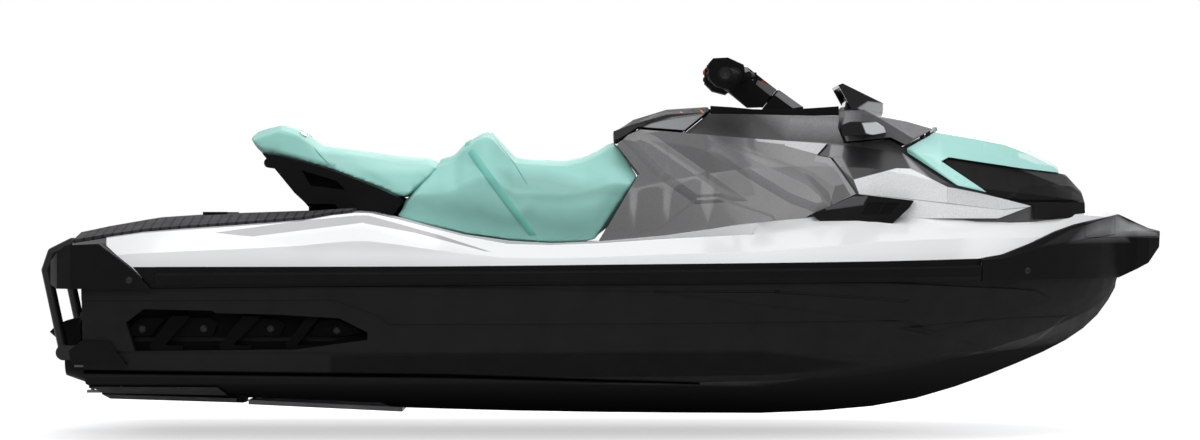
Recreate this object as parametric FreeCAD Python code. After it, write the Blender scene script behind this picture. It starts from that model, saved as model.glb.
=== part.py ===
import FreeCAD, Part
import math
import os

os.makedirs("parts", exist_ok=True)

# Sit-down personal watercraft for three people, in millimetres
# +X to the bow, +Y to port, +Z up, origin amidships on the waterline

# Driving sizes of the whole craft
LENGTH = 3450.0
BEAM = 1255.0
HEIGHT = 1100.0

# Clearances and cutting overrun
SEAM = 3.0
MOVING_GAP = 6.0
SOFT_GAP = 0.3
PIN_GAP = 0.5
SLIVER = 2000.0
OVERRUN = 60.0

# Bond line, where the deck moulding sits on the hull moulding
BOND_HEIGHT_SHARE = 0.18182
SHEER_SLOPE_SHARE = 0.0094
DECK_INSET = 6.0

# Hull lines from stern to bow: x as a share of LENGTH, y of BEAM, z of HEIGHT
HULL_STATION_SHARES = [
    -0.4440, -0.400, -0.360, -0.320, -0.275, -0.2277, -0.190, -0.140, -0.080, 0.0, 0.080, 0.145,
    0.200, 0.245, 0.285, 0.320, 0.350, 0.376, 0.400, 0.420, 0.436, 0.449, 0.459, 0.4650]
KEEL_SHARES = [
    (-0.4440, -0.172), (-0.3200, -0.184), (-0.1806, -0.2050), (0.0, -0.2181), (0.1445, -0.2209),
    (0.2528, -0.1990), (0.3133, -0.1530), (0.3720, -0.0850), (0.4171, -0.0200),
    (0.4424, 0.0357), (0.4569, 0.0900), (0.4650, 0.1350)]
INNER_CHINE_SHARES = [
    (-0.444, 0.385, -0.118), (-0.18, 0.398, -0.117), (0.0, 0.398, -0.116), (0.1445, 0.390, -0.110),
    (0.2528, 0.345, -0.085), (0.3133, 0.270, -0.050), (0.3720, 0.185, -0.005),
    (0.4171, 0.112, 0.045), (0.4424, 0.066, 0.080), (0.4569, 0.036, 0.115), (0.4650, 0.014, 0.150)]
OUTER_CHINE_SHARES = [
    (-0.444, 0.412, -0.098), (-0.18, 0.424, -0.098), (0.0, 0.424, -0.098), (0.1445, 0.414, -0.092),
    (0.2528, 0.366, -0.066), (0.3133, 0.290, -0.030), (0.3720, 0.203, 0.016),
    (0.4171, 0.126, 0.062), (0.4424, 0.077, 0.095), (0.4569, 0.044, 0.123), (0.4650, 0.018, 0.153)]
LOW_CREASE_SHARES = [
    (-0.444, 0.432, -0.035), (-0.18, 0.444, -0.035), (0.0, 0.444, -0.035), (0.1445, 0.434, -0.032),
    (0.2528, 0.390, -0.010), (0.3133, 0.318, 0.020), (0.3720, 0.232, 0.060),
    (0.4171, 0.152, 0.094), (0.4424, 0.098, 0.116), (0.4569, 0.058, 0.136), (0.4650, 0.026, 0.158)]
RAIL_FOOT_SHARES = [
    (-0.444, 0.456, 0.150), (-0.18, 0.474, 0.152), (0.0, 0.474, 0.153), (0.1445, 0.466, 0.155),
    (0.2528, 0.428, 0.157), (0.3133, 0.362, 0.158), (0.3720, 0.276, 0.160),
    (0.4171, 0.192, 0.162), (0.4424, 0.130, 0.163), (0.4569, 0.082, 0.164), (0.4650, 0.040, 0.165)]
BOND_SHARES = [
    (-0.4600, 0.460), (-0.444, 0.462), (-0.18, 0.480), (0.0, 0.480), (0.1445, 0.472),
    (0.2528, 0.434), (0.3133, 0.370), (0.3720, 0.286), (0.4171, 0.202), (0.4424, 0.140),
    (0.4569, 0.092), (0.4650, 0.052)]

# Raised band along the hull's side, ending in a blade towards the bow
BAND_PROUD = 6.0
BAND_SHARES = [
    (-0.4600, 0.1092), (-0.2277, 0.1124), (-0.1883, 0.0692), (-0.1806, 0.0464), (0.0599, 0.0491),
    (0.2646, 0.0564), (0.2893, 0.0249), (0.3979, 0.1066), (0.3820, 0.1306), (0.3618, 0.1364),
    (0.3200, 0.1430), (0.2390, 0.1575), (0.0171, 0.1518), (-0.1707, 0.1490), (-0.3782, 0.1425),
    (-0.4600, 0.1400)]

# Deck lines: half breadth and height of the gunwale top, and height of the crown
DECK_STATION_SHARES = [
    -0.4560, -0.430, -0.395, -0.360, -0.3291, -0.290, -0.2571, -0.230, -0.2108, -0.1980, -0.1757,
    -0.150, -0.1195, -0.080, -0.0428, 0.0, 0.0566, 0.0980, 0.1397, 0.190, 0.2400, 0.280, 0.3200,
    0.355, 0.3900, 0.415, 0.4400, 0.455, 0.4650]
GUNWALE_SHARES = [
    (-0.4560, 0.372, 0.262), (-0.3950, 0.378, 0.290), (-0.3291, 0.382, 0.305),
    (-0.2571, 0.386, 0.323), (-0.2108, 0.390, 0.345), (-0.1980, 0.390, 0.344),
    (-0.1757, 0.390, 0.329), (-0.1195, 0.390, 0.284), (-0.0703, 0.390, 0.259),
    (-0.0428, 0.390, 0.258), (0.0566, 0.384, 0.275), (0.1397, 0.350, 0.288),
    (0.2400, 0.300, 0.330), (0.3200, 0.235, 0.345), (0.3900, 0.165, 0.345),
    (0.4400, 0.105, 0.338), (0.4650, 0.060, 0.330)]
CROWN_SHARES = [
    (-0.4560, 0.288), (-0.4299, 0.306), (-0.4067, 0.322), (-0.3534, 0.334), (-0.2571, 0.345),
    (-0.2108, 0.352), (-0.1757, 0.333), (-0.1195, 0.286), (-0.0428, 0.262), (0.0566, 0.284),
    (0.1397, 0.330), (0.2400, 0.380), (0.3200, 0.385), (0.3900, 0.372), (0.4400, 0.358),
    (0.4650, 0.345)]
SHOULDER_OUT_SHARE = 0.72
SHOULDER_UP_SHARE = 0.55
CROWN_EDGE_SHARE = 0.62
CROWN_RISE_SHARE = 0.85

# Upper body lines: half breadth and height of waist, shoulder and top edge, and crown height
BODY_STATION_SHARES = [
    -0.030, 0.0, 0.030, 0.060, 0.0950, 0.1350, 0.170, 0.2030, 0.235, 0.2700, 0.300, 0.330,
    0.360, 0.385, 0.405, 0.420, 0.4330]
BODY_FOOT_SHARES = [
    (-0.030, 0.170), (0.030, 0.187), (0.0950, 0.215), (0.160, 0.252), (0.2030, 0.279),
    (0.250, 0.300), (0.300, 0.290), (0.3570, 0.247), (0.3990, 0.191), (0.4200, 0.151),
    (0.4330, 0.119)]
BODY_WAIST_SHARES = [
    (-0.030, 0.165, 0.364), (0.030, 0.182, 0.410), (0.0950, 0.199, 0.455), (0.160, 0.219, 0.473),
    (0.2030, 0.239, 0.473), (0.250, 0.263, 0.464), (0.300, 0.259, 0.427), (0.3570, 0.215, 0.405),
    (0.3990, 0.160, 0.391), (0.4200, 0.120, 0.382), (0.4330, 0.088, 0.372)]
BODY_SHOULDER_SHARES = [
    (-0.030, 0.120, 0.500), (0.030, 0.132, 0.560), (0.0743, 0.145, 0.572), (0.1353, 0.160, 0.554),
    (0.2030, 0.175, 0.540), (0.250, 0.190, 0.520), (0.300, 0.180, 0.495), (0.3570, 0.148, 0.465),
    (0.3990, 0.112, 0.435), (0.4200, 0.080, 0.408), (0.4330, 0.056, 0.385)]
BODY_TOP_SHARES = [
    (-0.030, 0.090, 0.520), (0.030, 0.104, 0.590), (0.060, 0.116, 0.616), (0.0965, 0.128, 0.622),
    (0.160, 0.140, 0.618), (0.2214, 0.150, 0.612), (0.250, 0.152, 0.604), (0.300, 0.140, 0.562),
    (0.3570, 0.112, 0.532), (0.3990, 0.080, 0.480), (0.4200, 0.056, 0.436), (0.4330, 0.036, 0.395)]
BODY_CROWN_SHARES = [
    (-0.030, 0.525), (0.012, 0.5458), (0.0256, 0.594), (0.0563, 0.628), (0.0900, 0.640),
    (0.1050, 0.628), (0.160, 0.622), (0.2214, 0.622), (0.250, 0.618), (0.300, 0.577),
    (0.3580, 0.5443), (0.3990, 0.4882), (0.4200, 0.443), (0.4330, 0.400)]
BODY_FOOT_HEIGHT_SHARE = 0.20
CROWN_HALF_SHARE = 0.5
SKIN = 9.0
HOOD_SKIN = 14.0
LID_SKIN = 26.0
POD_SKIN = 44.0

# Side-view outlines of the body panels: x share of LENGTH, z share of HEIGHT
SIDE_PANEL_SHARES = [
    (0.0248, 0.5630), (0.0150, 0.5336), (0.0345, 0.4540), (-0.0060, 0.2400), (0.0566, 0.2500),
    (0.1397, 0.2600), (0.1874, 0.3449), (0.2007, 0.3626), (0.2242, 0.3971), (0.2028, 0.4968),
    (0.1909, 0.5047), (0.2010, 0.5385), (0.1353, 0.5516), (0.0743, 0.5680), (0.0362, 0.5780)]
WING_SHARES = [
    (0.2040, 0.5383), (0.2668, 0.5113), (0.3078, 0.4190), (0.3381, 0.3971), (0.3805, 0.3641),
    (0.3500, 0.3300), (0.2600, 0.3300), (0.2020, 0.3560), (0.2262, 0.3971), (0.2048, 0.4968),
    (0.1929, 0.5047)]
HOOD_SHARES = [
    (0.2710, 0.5245), (0.3012, 0.5760), (0.3012, 0.640), (0.4200, 0.600), (0.4097, 0.4583),
    (0.3749, 0.4695), (0.3081, 0.4994), (0.3010, 0.4882), (0.3393, 0.4022), (0.3130, 0.4206),
    (0.2712, 0.5120)]
NOSE_SHARES = [
    (0.3030, 0.4882), (0.3081, 0.4974), (0.3749, 0.4675), (0.4100, 0.4560), (0.4400, 0.450),
    (0.4400, 0.3300), (0.3820, 0.3300), (0.3825, 0.3650), (0.3405, 0.3990)]
CORE_SHARES = [
    (0.0160, 0.5336), (0.0355, 0.4540), (-0.0050, 0.2400), (-0.0050, 0.200), (0.4330, 0.200),
    (0.4330, 0.700), (0.3030, 0.700), (0.3012, 0.5720), (0.2700, 0.5250), (0.2560, 0.5480),
    (0.2160, 0.5380), (0.2110, 0.5814), (0.2125, 0.6200), (0.2110, 0.700), (0.1010, 0.700),
    (0.1010, 0.6330), (0.0757, 0.5690), (0.0345, 0.5800), (0.0160, 0.5390)]
GLOVE_LID_SHARES = [
    (0.0125, 0.5410), (0.0339, 0.5860), (0.0750, 0.5755), (0.0970, 0.6320), (0.0970, 0.700),
    (0.0100, 0.700)]
FRONT_LID_SHARES = [
    (0.2178, 0.5430), (0.2566, 0.5545), (0.2700, 0.5330), (0.2940, 0.5770), (0.2970, 0.6000),
    (0.2970, 0.750), (0.2175, 0.750), (0.2175, 0.6210), (0.2140, 0.5814)]

HATCH_TRIM_SHARES = [
    (0.2243, 0.6565), (0.3100, 0.6732), (0.3100, 0.5897), (0.2951, 0.5758), (0.2765, 0.5508),
    (0.2553, 0.5925), (0.2358, 0.6315)]
HATCH_TRIM_THICK = 10.0

# Storage bins under the two lids
GLOVE_BIN_SHARES = [(0.040, 0.470), (0.068, 0.470), (0.072, 0.600), (0.038, 0.600)]
GLOVE_BIN_HALF = 85.0
FRONT_BIN_SHARES = [(0.225, 0.400), (0.268, 0.400), (0.266, 0.600), (0.226, 0.600)]
FRONT_BIN_HALF = 150.0

# Seats: half breadths and heights along the length
SEAT_STATION_SHARES = [
    -0.318, -0.300, -0.285, -0.270, -0.2501, -0.220, -0.180, -0.1445, -0.1295, -0.1210, -0.1053,
    -0.1000, -0.0950, -0.0860, -0.0758, -0.060, -0.0316, -0.0126, 0.0, 0.0081, 0.0180, 0.0360]
SEAT_CROWN_SHARES = [
    (-0.318, 0.560), (-0.3101, 0.568), (-0.290, 0.586), (-0.2778, 0.591), (-0.2680, 0.570),
    (-0.2501, 0.5310), (-0.2200, 0.5190), (-0.1445, 0.4927), (-0.1295, 0.5057), (-0.1210, 0.5352),
    (-0.1053, 0.5660), (-0.1000, 0.5706), (-0.0950, 0.5650), (-0.0860, 0.530), (-0.0758, 0.4960),
    (-0.0451, 0.4890), (-0.0316, 0.4876), (-0.0126, 0.5012), (-0.0005, 0.5219), (0.0081, 0.5450),
    (0.0110, 0.5470), (0.0360, 0.5480)]
SEAT_TOP_HALF_SHARES = [
    (-0.318, 0.110), (-0.2778, 0.128), (-0.2501, 0.120), (-0.1445, 0.115), (-0.1000, 0.120),
    (-0.0451, 0.110), (0.0081, 0.098), (0.0360, 0.094)]
SEAT_SIDE_HALF_SHARES = [
    (-0.318, 0.135), (-0.2778, 0.163), (-0.2501, 0.168), (-0.1445, 0.169), (-0.1000, 0.174),
    (-0.0451, 0.176), (0.0081, 0.180), (0.0360, 0.184)]
SEAT_EDGE_DROP_SHARE = 0.018
SEAT_WAIST_SHARE = 0.62
SEAT_CROWN_HALF_SHARE = 0.55
SEAT_UNDERSIDE_SHARES = [
    (-0.3010, 0.5128), (-0.2796, 0.5002), (-0.2378, 0.4647), (-0.1948, 0.4118), (-0.1767, 0.3868)]
REAR_SEAT_END_SHARES = [
    (-0.1700, 0.3868), (-0.1437, 0.4786), (-0.1437, 0.650), (-0.3160, 0.650), (-0.3160, 0.5610)]
RIDER_SEAT_SHARES = [
    (-0.1430, 0.4786), (-0.1692, 0.3868), (-0.1824, 0.3350), (-0.1824, 0.2300), (-0.0098, 0.2300),
    (0.0335, 0.4540), (0.0140, 0.5330), (0.0100, 0.5390), (0.0100, 0.650), (-0.1430, 0.650)]
SEAT_BASE_END_SHARES = [
    (-0.1720, 0.3868), (-0.1848, 0.3330), (-0.1848, 0.3000), (-0.2594, 0.3000), (-0.2594, 0.3616)]
SEAT_FOOT_SHARE = 0.230
SEAT_BASE_HALF = 150.0

# Grab rail behind and beside the passenger seat
RAIL_PLATE_SHARES = [
    (-0.2976, 0.5068), (-0.2876, 0.5068), (-0.2661, 0.4891), (-0.2369, 0.4641), (-0.1940, 0.4115),
    (-0.1770, 0.3866), (-0.1735, 0.3780), (-0.1860, 0.3300), (-0.2250, 0.3300), (-0.2340, 0.3700),
    (-0.2594, 0.3700), (-0.2700, 0.4010)]
RAIL_SLOT_SHARES = [(-0.2640, 0.4640), (-0.2323, 0.4337), (-0.2250, 0.4080), (-0.2560, 0.4200)]
GRAB_RAIL_SHARE = 0.1713
GRAB_RAIL_THICK = 23.0
GRAB_RAIL_IN = GRAB_RAIL_SHARE * BEAM
GRAB_RAIL_OUT = GRAB_RAIL_IN + GRAB_RAIL_THICK
GRAB_BAR_RADIUS = 15.0
GRAB_BAR_SHARES = (-0.2925, 0.4840)
GRAB_BRACE_SHARES = [(-0.2480, 0.4000), (-0.2050, 0.3800)]
GRAB_BRACE_RADIUS = 11.0

# Rub rail round the bond line
RUB_RAIL_PROUD = 25.0
RUB_RAIL_LAP = 12.0
RAIL_TOP_SHARES = [
    (-0.3950, 0.1998), (-0.1707, 0.2011), (0.0171, 0.2065), (0.2390, 0.2145), (0.3470, 0.2222)]
RAIL_LOW_SHARES = [
    (-0.3782, 0.1436), (-0.1707, 0.1503), (0.0171, 0.1529), (0.2390, 0.1588), (0.3470, 0.1613)]
RAIL_STATION_SHARES = [
    -0.3790, -0.320, -0.260, -0.200, -0.140, -0.080, 0.0, 0.080, 0.145, 0.200, 0.245, 0.285,
    0.320, 0.3300]
RAIL_WAIST_SHARE = 0.62

# Bow bumper stations: x, extra half breadth beside the deck, foot, crease and top heights
BOW_STATION_SHARES = [0.3310, 0.350, 0.376, 0.400, 0.420, 0.436, 0.449, 0.4650]
BOW_TOP_SHARES = [(0.3310, 0.2222), (0.3475, 0.2300), (0.4154, 0.3097), (0.4650, 0.3418)]
BOW_CREASE_SHARES = [(0.3310, 0.2180), (0.3475, 0.2200), (0.4154, 0.2800), (0.4650, 0.2930)]
BOW_FOOT_SHARES = [(0.3310, 0.1600), (0.4650, 0.1640)]
BOW_TIP_SHARES = [
    (0.4820, 0.080, 0.100, 0.072, 0.188, 0.2960, 0.318),
    (0.4930, 0.060, 0.080, 0.058, 0.205, 0.2955, 0.303),
    (0.5038, 0.030, 0.046, 0.034, 0.250, 0.2928, 0.2950)]
BUMPER_PROUD = 27.0

# Stern bumper, side view and plan
STERN_SHARES = [
    (-0.4274, 0.2618), (-0.4004, 0.1969), (-0.3831, 0.1410), (-0.4659, 0.1410), (-0.4784, 0.1581),
    (-0.4784, 0.2034), (-0.4572, 0.2577)]
STERN_CORNER_SHARES = [(-0.452, 1.0), (-0.465, 0.93), (-0.474, 0.80), (-0.479, 0.62)]

# Hull side recess and its struts, stern corner blocks, bottom shoes
RECESS_SHARES = [
    (-0.4065, 0.0499), (-0.3915, 0.0862), (-0.3323, 0.0822), (-0.3288, 0.0757), (-0.2747, 0.0714),
    (-0.2232, 0.0617), (-0.1992, 0.0240), (-0.1992, 0.0033), (-0.2614, -0.0228),
    (-0.3991, -0.0274)]
RECESS_DEEP = 127.5
RECESS_FLOOR = BEAM / 2 - RECESS_DEEP
STEP_PLATE = 9.0
STEP_SLOT_SHARES = [(-0.4009, 0.0106), (-0.2129, 0.0106), (-0.2318, -0.0015), (-0.4009, -0.0015)]
POD_DEEP = 24.0
POD_OUTLINE_SHARES = [
    [(-0.4061, 0.0294), (-0.3958, 0.0604), (-0.3739, 0.0604), (-0.3838, 0.0241), (-0.3855, 0.0146),
     (-0.4052, 0.0133)],
    [(-0.3675, 0.0133), (-0.3546, 0.0617), (-0.3348, 0.0604), (-0.3288, 0.0483), (-0.3331, 0.0133)],
    [(-0.3099, 0.0133), (-0.2971, 0.0604), (-0.2782, 0.0591), (-0.2713, 0.0456), (-0.2756, 0.0133)],
    [(-0.2516, 0.0133), (-0.2413, 0.0550), (-0.2258, 0.0564), (-0.2086, 0.0321), (-0.2043, 0.0214),
     (-0.2189, 0.0133)]]
POD_BOLT_SHARES = [(-0.3932, 0.0321), (-0.3404, 0.0329), (-0.2829, 0.0329), (-0.2258, 0.0276)]
BOSS_RADIUS = 11.0
BOSS_PROUD = 3.0
STRUT_DEEP = 46.0
STRUT_SHARES = [
    [(-0.3677, 0.0671), (-0.3520, 0.0671), (-0.3735, -0.0110), (-0.3580, -0.0150),
     (-0.3580, -0.0271), (-0.3851, -0.0271), (-0.3863, -0.0110)],
    [(-0.3065, 0.0671), (-0.2910, 0.0671), (-0.3151, -0.0110), (-0.2996, -0.0150),
     (-0.2996, -0.0271), (-0.3254, -0.0271), (-0.3267, -0.0110)],
    [(-0.2507, 0.0671), (-0.2404, 0.0671), (-0.2601, -0.0110), (-0.2464, -0.0150),
     (-0.2464, -0.0271), (-0.2687, -0.0271), (-0.2700, -0.0110)]]
CORNER_SHARES = [
    (-0.4556, -0.0256), (-0.4447, 0.0003), (-0.4200, -0.0019), (-0.4152, -0.0275),
    (-0.4056, -0.0663), (-0.4535, -0.0644)]
CORNER_SET_IN = 71.5
CORNER_WIDE = 156.0
CORNER_OUT = BEAM / 2 - CORNER_SET_IN
SHOE_THICK = 7.0
SHOE_SHARES = [(-0.4400, -0.30), (-0.4400, 0.10), (-0.3330, -0.100), (-0.3220, -0.30)]
SHOE_IN = 205.0
SHOE_SET_IN = 172.5
SHOE_OUT = BEAM / 2 - SHOE_SET_IN

# Jet pump
TRANSOM_X = HULL_STATION_SHARES[0] * LENGTH
PUMP_RISE = 114.2
PUMP_Z = KEEL_SHARES[0][1] * HEIGHT + PUMP_RISE
PUMP_BORE = 79.0
PUMP_WALL = 11.0
PUMP_SET_IN = 61.8
PUMP_LONG = 375.0
PUMP_BACK_X = TRANSOM_X + PUMP_SET_IN
PUMP_FRONT_X = PUMP_BACK_X + PUMP_LONG
TUNNEL_HALF = 150.0
TUNNEL_RISE = 123.0
TUNNEL_TOP = PUMP_Z + TUNNEL_RISE
DUCT_HALF = 95.0
DUCT_LONG = 455.0
DUCT_FRONT_X = PUMP_FRONT_X + DUCT_LONG
SHAFT_RADIUS = 14.0
SHAFT_REACH = 215.0
SHAFT_FRONT_X = PUMP_FRONT_X + SHAFT_REACH
HUB_RADIUS = 27.0
BLADE_COUNT = 4
BLADE_THICK = 4.0
BLADE_CHORD_SHARE = 0.62
PITCH_ROOT = 35.0
PITCH_TIP = 62.0
IMPELLER_SET_BACK = 175.0
IMPELLER_X = PUMP_FRONT_X - IMPELLER_SET_BACK
IMPELLER_LONG = 80.0
TIP_GAP = 1.5
VANE_COUNT = 7
VANE_THICK = 4.0
VANE_LEAN = -14.0
STATOR_SET_IN = 70.0
STATOR_X = PUMP_BACK_X + STATOR_SET_IN
STATOR_LONG = 80.0
VENTURI_LONG = 96.0
VENTURI_BACK_X = PUMP_BACK_X - VENTURI_LONG
VENTURI_RADIUS = 50.0
NOZZLE_PIVOT_BACK = 14.0
NOZZLE_PIVOT_X = VENTURI_BACK_X - NOZZLE_PIVOT_BACK
NOZZLE_LAP = 18.0
NOZZLE_FRONT_X = NOZZLE_PIVOT_X + NOZZLE_LAP
NOZZLE_TAIL = 80.0
NOZZLE_BACK_X = NOZZLE_PIVOT_X - NOZZLE_TAIL
NOZZLE_MOUTH = 85.0
NOZZLE_OUTLET = 45.0
NOZZLE_WALL = 5.0
NOZZLE_PIN = 6.0
EAR_THICK = 8.0
EAR_HALF = 16.0
BUCKET_PIVOT_BACK = 20.0
BUCKET_PIVOT_X = NOZZLE_PIVOT_X - BUCKET_PIVOT_BACK
BUCKET_RADIUS = 132.0
BUCKET_WALL = 7.0
BUCKET_HALF = 104.0
BUCKET_FROM = 92.0
BUCKET_TO = 138.0
BUCKET_FACETS = 8
BUCKET_PIN = 8.0
ARM_THICK = 9.0
ARM_HALF = 20.0
RIDE_PLATE_HALF = 188.0
RIDE_PLATE_THICK = 9.0
RIDE_PLATE_SET_BACK = 15.0
RIDE_PLATE_FRONT_X = PUMP_FRONT_X - RIDE_PLATE_SET_BACK
RIDE_PLATE_SET_IN = 6.8
RIDE_PLATE_BACK_X = TRANSOM_X + RIDE_PLATE_SET_IN
GRATE_BARS = 5
GRATE_BAR_WIDE = 8.0
GRATE_BAR_DEEP = 14.0

# Engine and its bay
ENGINE_SIZE = (600.0, 380.0, 360.0)
ENGINE_MIDDLE_SHARE = -0.01449
ENGINE_RISE = 99.9
BAY_ROOM = (80.0, 60.0, 42.0)

# Footwells
WELL_SHARES = [(-0.1980, 0.420), (-0.1830, 0.2010), (0.1200, 0.2060), (0.1560, 0.420)]
WELL_IN_SHARE = 0.1849
WELL_TAPER_SHARE = -0.020
WELL_IN_FRONT_SHARE = 0.2438
WELL_OUT_SHARE = 0.3554
WELL_MAT = 6.0

# Platform mat and fittings
MAT_THICK = 9.0
MAT_FROM_SHARE = -0.4560
MAT_TO_SHARE = -0.2150
MAT_EDGE = 14.0
LATCH_SHARE = -0.34203
LATCH_X = LATCH_SHARE * LENGTH
LATCH_Y = 170.0
LATCH_RADIUS = 38.0
LATCH_BORE = 20.0
LATCH_DEEP = 30.0
LATCH_PROUD = 5.0

# Steering
STEER_TILT = 37.0
STEER_JOINT_SHARES = (0.1530, 0.668)
NECK_HALF = 40.0
BAR_END = 385.0
BAR_RADIUS = 11.0
GRIP_RADIUS = 17.0
GRIP_LONG = 125.0
GRIP_SHARES = (0.1093, 0.7241)
BAR_MID_SHARES = (0.1290, 0.7260)
NECK_SHARES = [
    (0.1110, 0.7000), (0.1330, 0.6440), (0.1445, 0.6450), (0.1590, 0.6930), (0.1330, 0.7560),
    (0.1200, 0.7640), (0.1120, 0.7500)]
COLUMN_SHARES = [
    (0.1466, 0.6400), (0.1466, 0.5600), (0.1828, 0.5600), (0.1828, 0.6439), (0.1611, 0.6920)]
STEM_RADIUS = 14.0
STEM_DEEP = 70.0
COLUMN_HALF = 48.0
BAR_BEND_Y = 110.0

# Switch housings on the bar, each with a lever
SWITCH_IN = 165.0
SWITCH_OUT = 238.0
SWITCH_SHARES = [
    (0.0960, 0.7600), (0.0960, 0.7180), (0.1030, 0.6960), (0.1150, 0.6860), (0.1290, 0.7180),
    (0.1270, 0.7560), (0.1130, 0.7760), (0.1000, 0.7740)]
LEVER_THICK = 9.0
LEVER_WIDE = 20.0
LEVER_REACH = 46.0

# Boarding ladder, folded up round the stern
LADDER_HALF = 215.0
LADDER_RADIUS = 16.0
LADDER_OUT = [14.5, -39.5, -21.5, 38.5]
LADDER_HEIGHT_SHARES = [-0.04182, 0.18636, 0.23455, 0.26182]
LADDER_EYE = 24.0
LADDER_PIN = 8.0
LUG_THICK = 12.0
LUG_HALF = 22.0

# Hook and towing eyes
EYE_THICK = 14.0
EYE_BORE = 9.0
EYE_RADIUS = 18.0
STERN_EYE_OUT = 20.2
STERN_EYE_Z = 70.0
STERN_EYE_Y = 330.0
TOW_EYE_OUT = 25.5
TOW_EYE_SHARE = 0.18182

# Hinges of the two lids: a pin in the lid, an ear with a bore on the console
HINGE_PIN = 3.5
HINGE_EAR = 7.0
HINGE_EAR_WIDE = 12.0
HINGE_SIDE_GAP = 2.0
GLOVE_HINGE_SHARES = (0.09507, 0.63364)
GLOVE_HINGE_Y = 70.0
FRONT_HINGE_SHARES = (0.29333, 0.58818)
FRONT_HINGE_Y = 100.0
HINGE_ROOT = 45.0
HINGE_SWING = 4.0

# Windshield, gauge, mirrors and air intakes
SHIELD_SHARES = [
    (0.2122, 0.7028), (0.2161, 0.7075), (0.2520, 0.6520), (0.2520, 0.6000), (0.2300, 0.6000),
    (0.2165, 0.6780)]
SHIELD_HALF = 150.0
SHIELD_WALL = 9.0
SHIELD_INSIDE_SHARES = [
    (0.2080, 0.6960), (0.2150, 0.6960), (0.2430, 0.6520), (0.2430, 0.5500), (0.2000, 0.5500)]
GAUGE_SHARES = [(0.2190, 0.6300), (0.2225, 0.6760), (0.2330, 0.6640), (0.2400, 0.5500), (0.2240, 0.5500)]
GAUGE_HALF = 110.0
MIRROR_OUT_SHARES = [
    (0.2105, 0.5850), (0.2185, 0.5950), (0.2400, 0.5950), (0.2480, 0.5800), (0.2500, 0.5660),
    (0.2400, 0.5600), (0.2120, 0.5560)]
MIRROR_IN_SHARES = [
    (0.2210, 0.5900), (0.2250, 0.6000), (0.2450, 0.6000), (0.2520, 0.5850), (0.2540, 0.5680),
    (0.2420, 0.5620), (0.2220, 0.5580)]
MIRROR_IN = 195.0
MIRROR_OUT = 345.0
VENT_SHARES = [
    (0.1854, 0.3420), (0.2258, 0.3965), (0.2736, 0.3785), (0.2701, 0.3610), (0.2492, 0.3000),
    (0.2000, 0.3000)]


def at(x_share, z_share):
    """Side-view point from shares of length and height."""
    return (x_share * LENGTH, z_share * HEIGHT)


def bond_z(x):
    return BOND_HEIGHT_SHARE * HEIGHT + SHEER_SLOPE_SHARE * x


def smooth(table, x, column=1):
    """Monotone cubic through a table's points, so that a fair line never overshoots."""
    xs = [row[0] for row in table]
    ys = [row[column] for row in table]
    x = min(max(x, xs[0]), xs[-1])
    i = max(k for k in range(len(xs) - 1) if xs[k] <= x)
    slopes = [(ys[k + 1] - ys[k]) / (xs[k + 1] - xs[k]) for k in range(len(xs) - 1)]

    def tangent(k):
        if k == 0 or k == len(xs) - 1:
            return slopes[min(k, len(slopes) - 1)]
        if slopes[k - 1] * slopes[k] <= 0:
            return 0.0
        return 2 * slopes[k - 1] * slopes[k] / (slopes[k - 1] + slopes[k])

    width = xs[i + 1] - xs[i]
    t = (x - xs[i]) / width
    start = ys[i] * (1 + 2 * t) * (1 - t) ** 2 + tangent(i) * width * t * (1 - t) ** 2
    end = ys[i + 1] * t * t * (3 - 2 * t) + tangent(i + 1) * width * t * t * (t - 1)
    return start + end


def ring(x, half):
    """Closed section wire at x from (y, z) points of the port half, centre line first and last."""
    port = [FreeCAD.Vector(x, y, z) for y, z in half]
    board = [FreeCAD.Vector(x, -y, z) for y, z in reversed(half) if y > 0]
    return Part.makePolygon(port + board + [port[0]])


def loft(wires):
    return Part.makeLoft(wires, True, True)


def side_face(points, y):
    corners = [FreeCAD.Vector(x, y, z) for x, z in points]
    return Part.Face(Part.makePolygon(corners + [corners[0]]))


def prism(points, y_from, y_to):
    """Side-view outline of (x, z) points, extruded across from y_from to y_to."""
    return side_face(points, y_from).extrude(FreeCAD.Vector(0, y_to - y_from, 0))


def side_prism(shares, y_from, y_to):
    return prism([at(*p) for p in shares], y_from, y_to)


def across(shares):
    return side_prism(shares, -BEAM, BEAM)


def port_side(shares):
    return side_prism(shares, 0, BEAM)


def box(low, high):
    size = [b - a for a, b in zip(low, high)]
    return Part.makeBox(*size, FreeCAD.Vector(*low))


def rod(start, end, radius):
    a, b = FreeCAD.Vector(*start), FreeCAD.Vector(*end)
    return Part.makeCylinder(radius, (b - a).Length, a, b - a)


def cross_rod(x, z, y_from, y_to, radius):
    return rod((x, y_from, z), (x, y_to, z), radius)


def cone(x_from, radius_from, x_to, radius_to):
    """Cone round the pump's axis, from x_from aft to x_to."""
    start = FreeCAD.Vector(x_from, 0, PUMP_Z)
    if radius_from == radius_to:
        return Part.makeCylinder(radius_from, x_from - x_to, start, FreeCAD.Vector(-1, 0, 0))
    return Part.makeCone(radius_from, radius_to, x_from - x_to, start, FreeCAD.Vector(-1, 0, 0))


def mirrored(shape):
    return shape.mirror(FreeCAD.Vector(0, 0, 0), FreeCAD.Vector(0, 1, 0))


def lifted(shape, dx, dy, dz):
    copy = shape.copy()
    copy.translate(FreeCAD.Vector(dx, dy, dz))
    return copy


totals = {}


def save(name, shape):
    solids = [s for s in shape.Solids if s.Volume > SLIVER]
    for solid in solids:
        if not solid.isValid():
            print("NOT VALID", name)
    out = solids[0] if len(solids) == 1 else Part.makeCompound(solids)
    out.exportStep("parts/" + name + ".step")
    totals[name] = (len(solids), sum(s.Volume for s in solids) / 1e6)
    return out


def save_pair(name, shape):
    save(name + "_left", shape)
    save(name + "_right", mirrored(shape))


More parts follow.
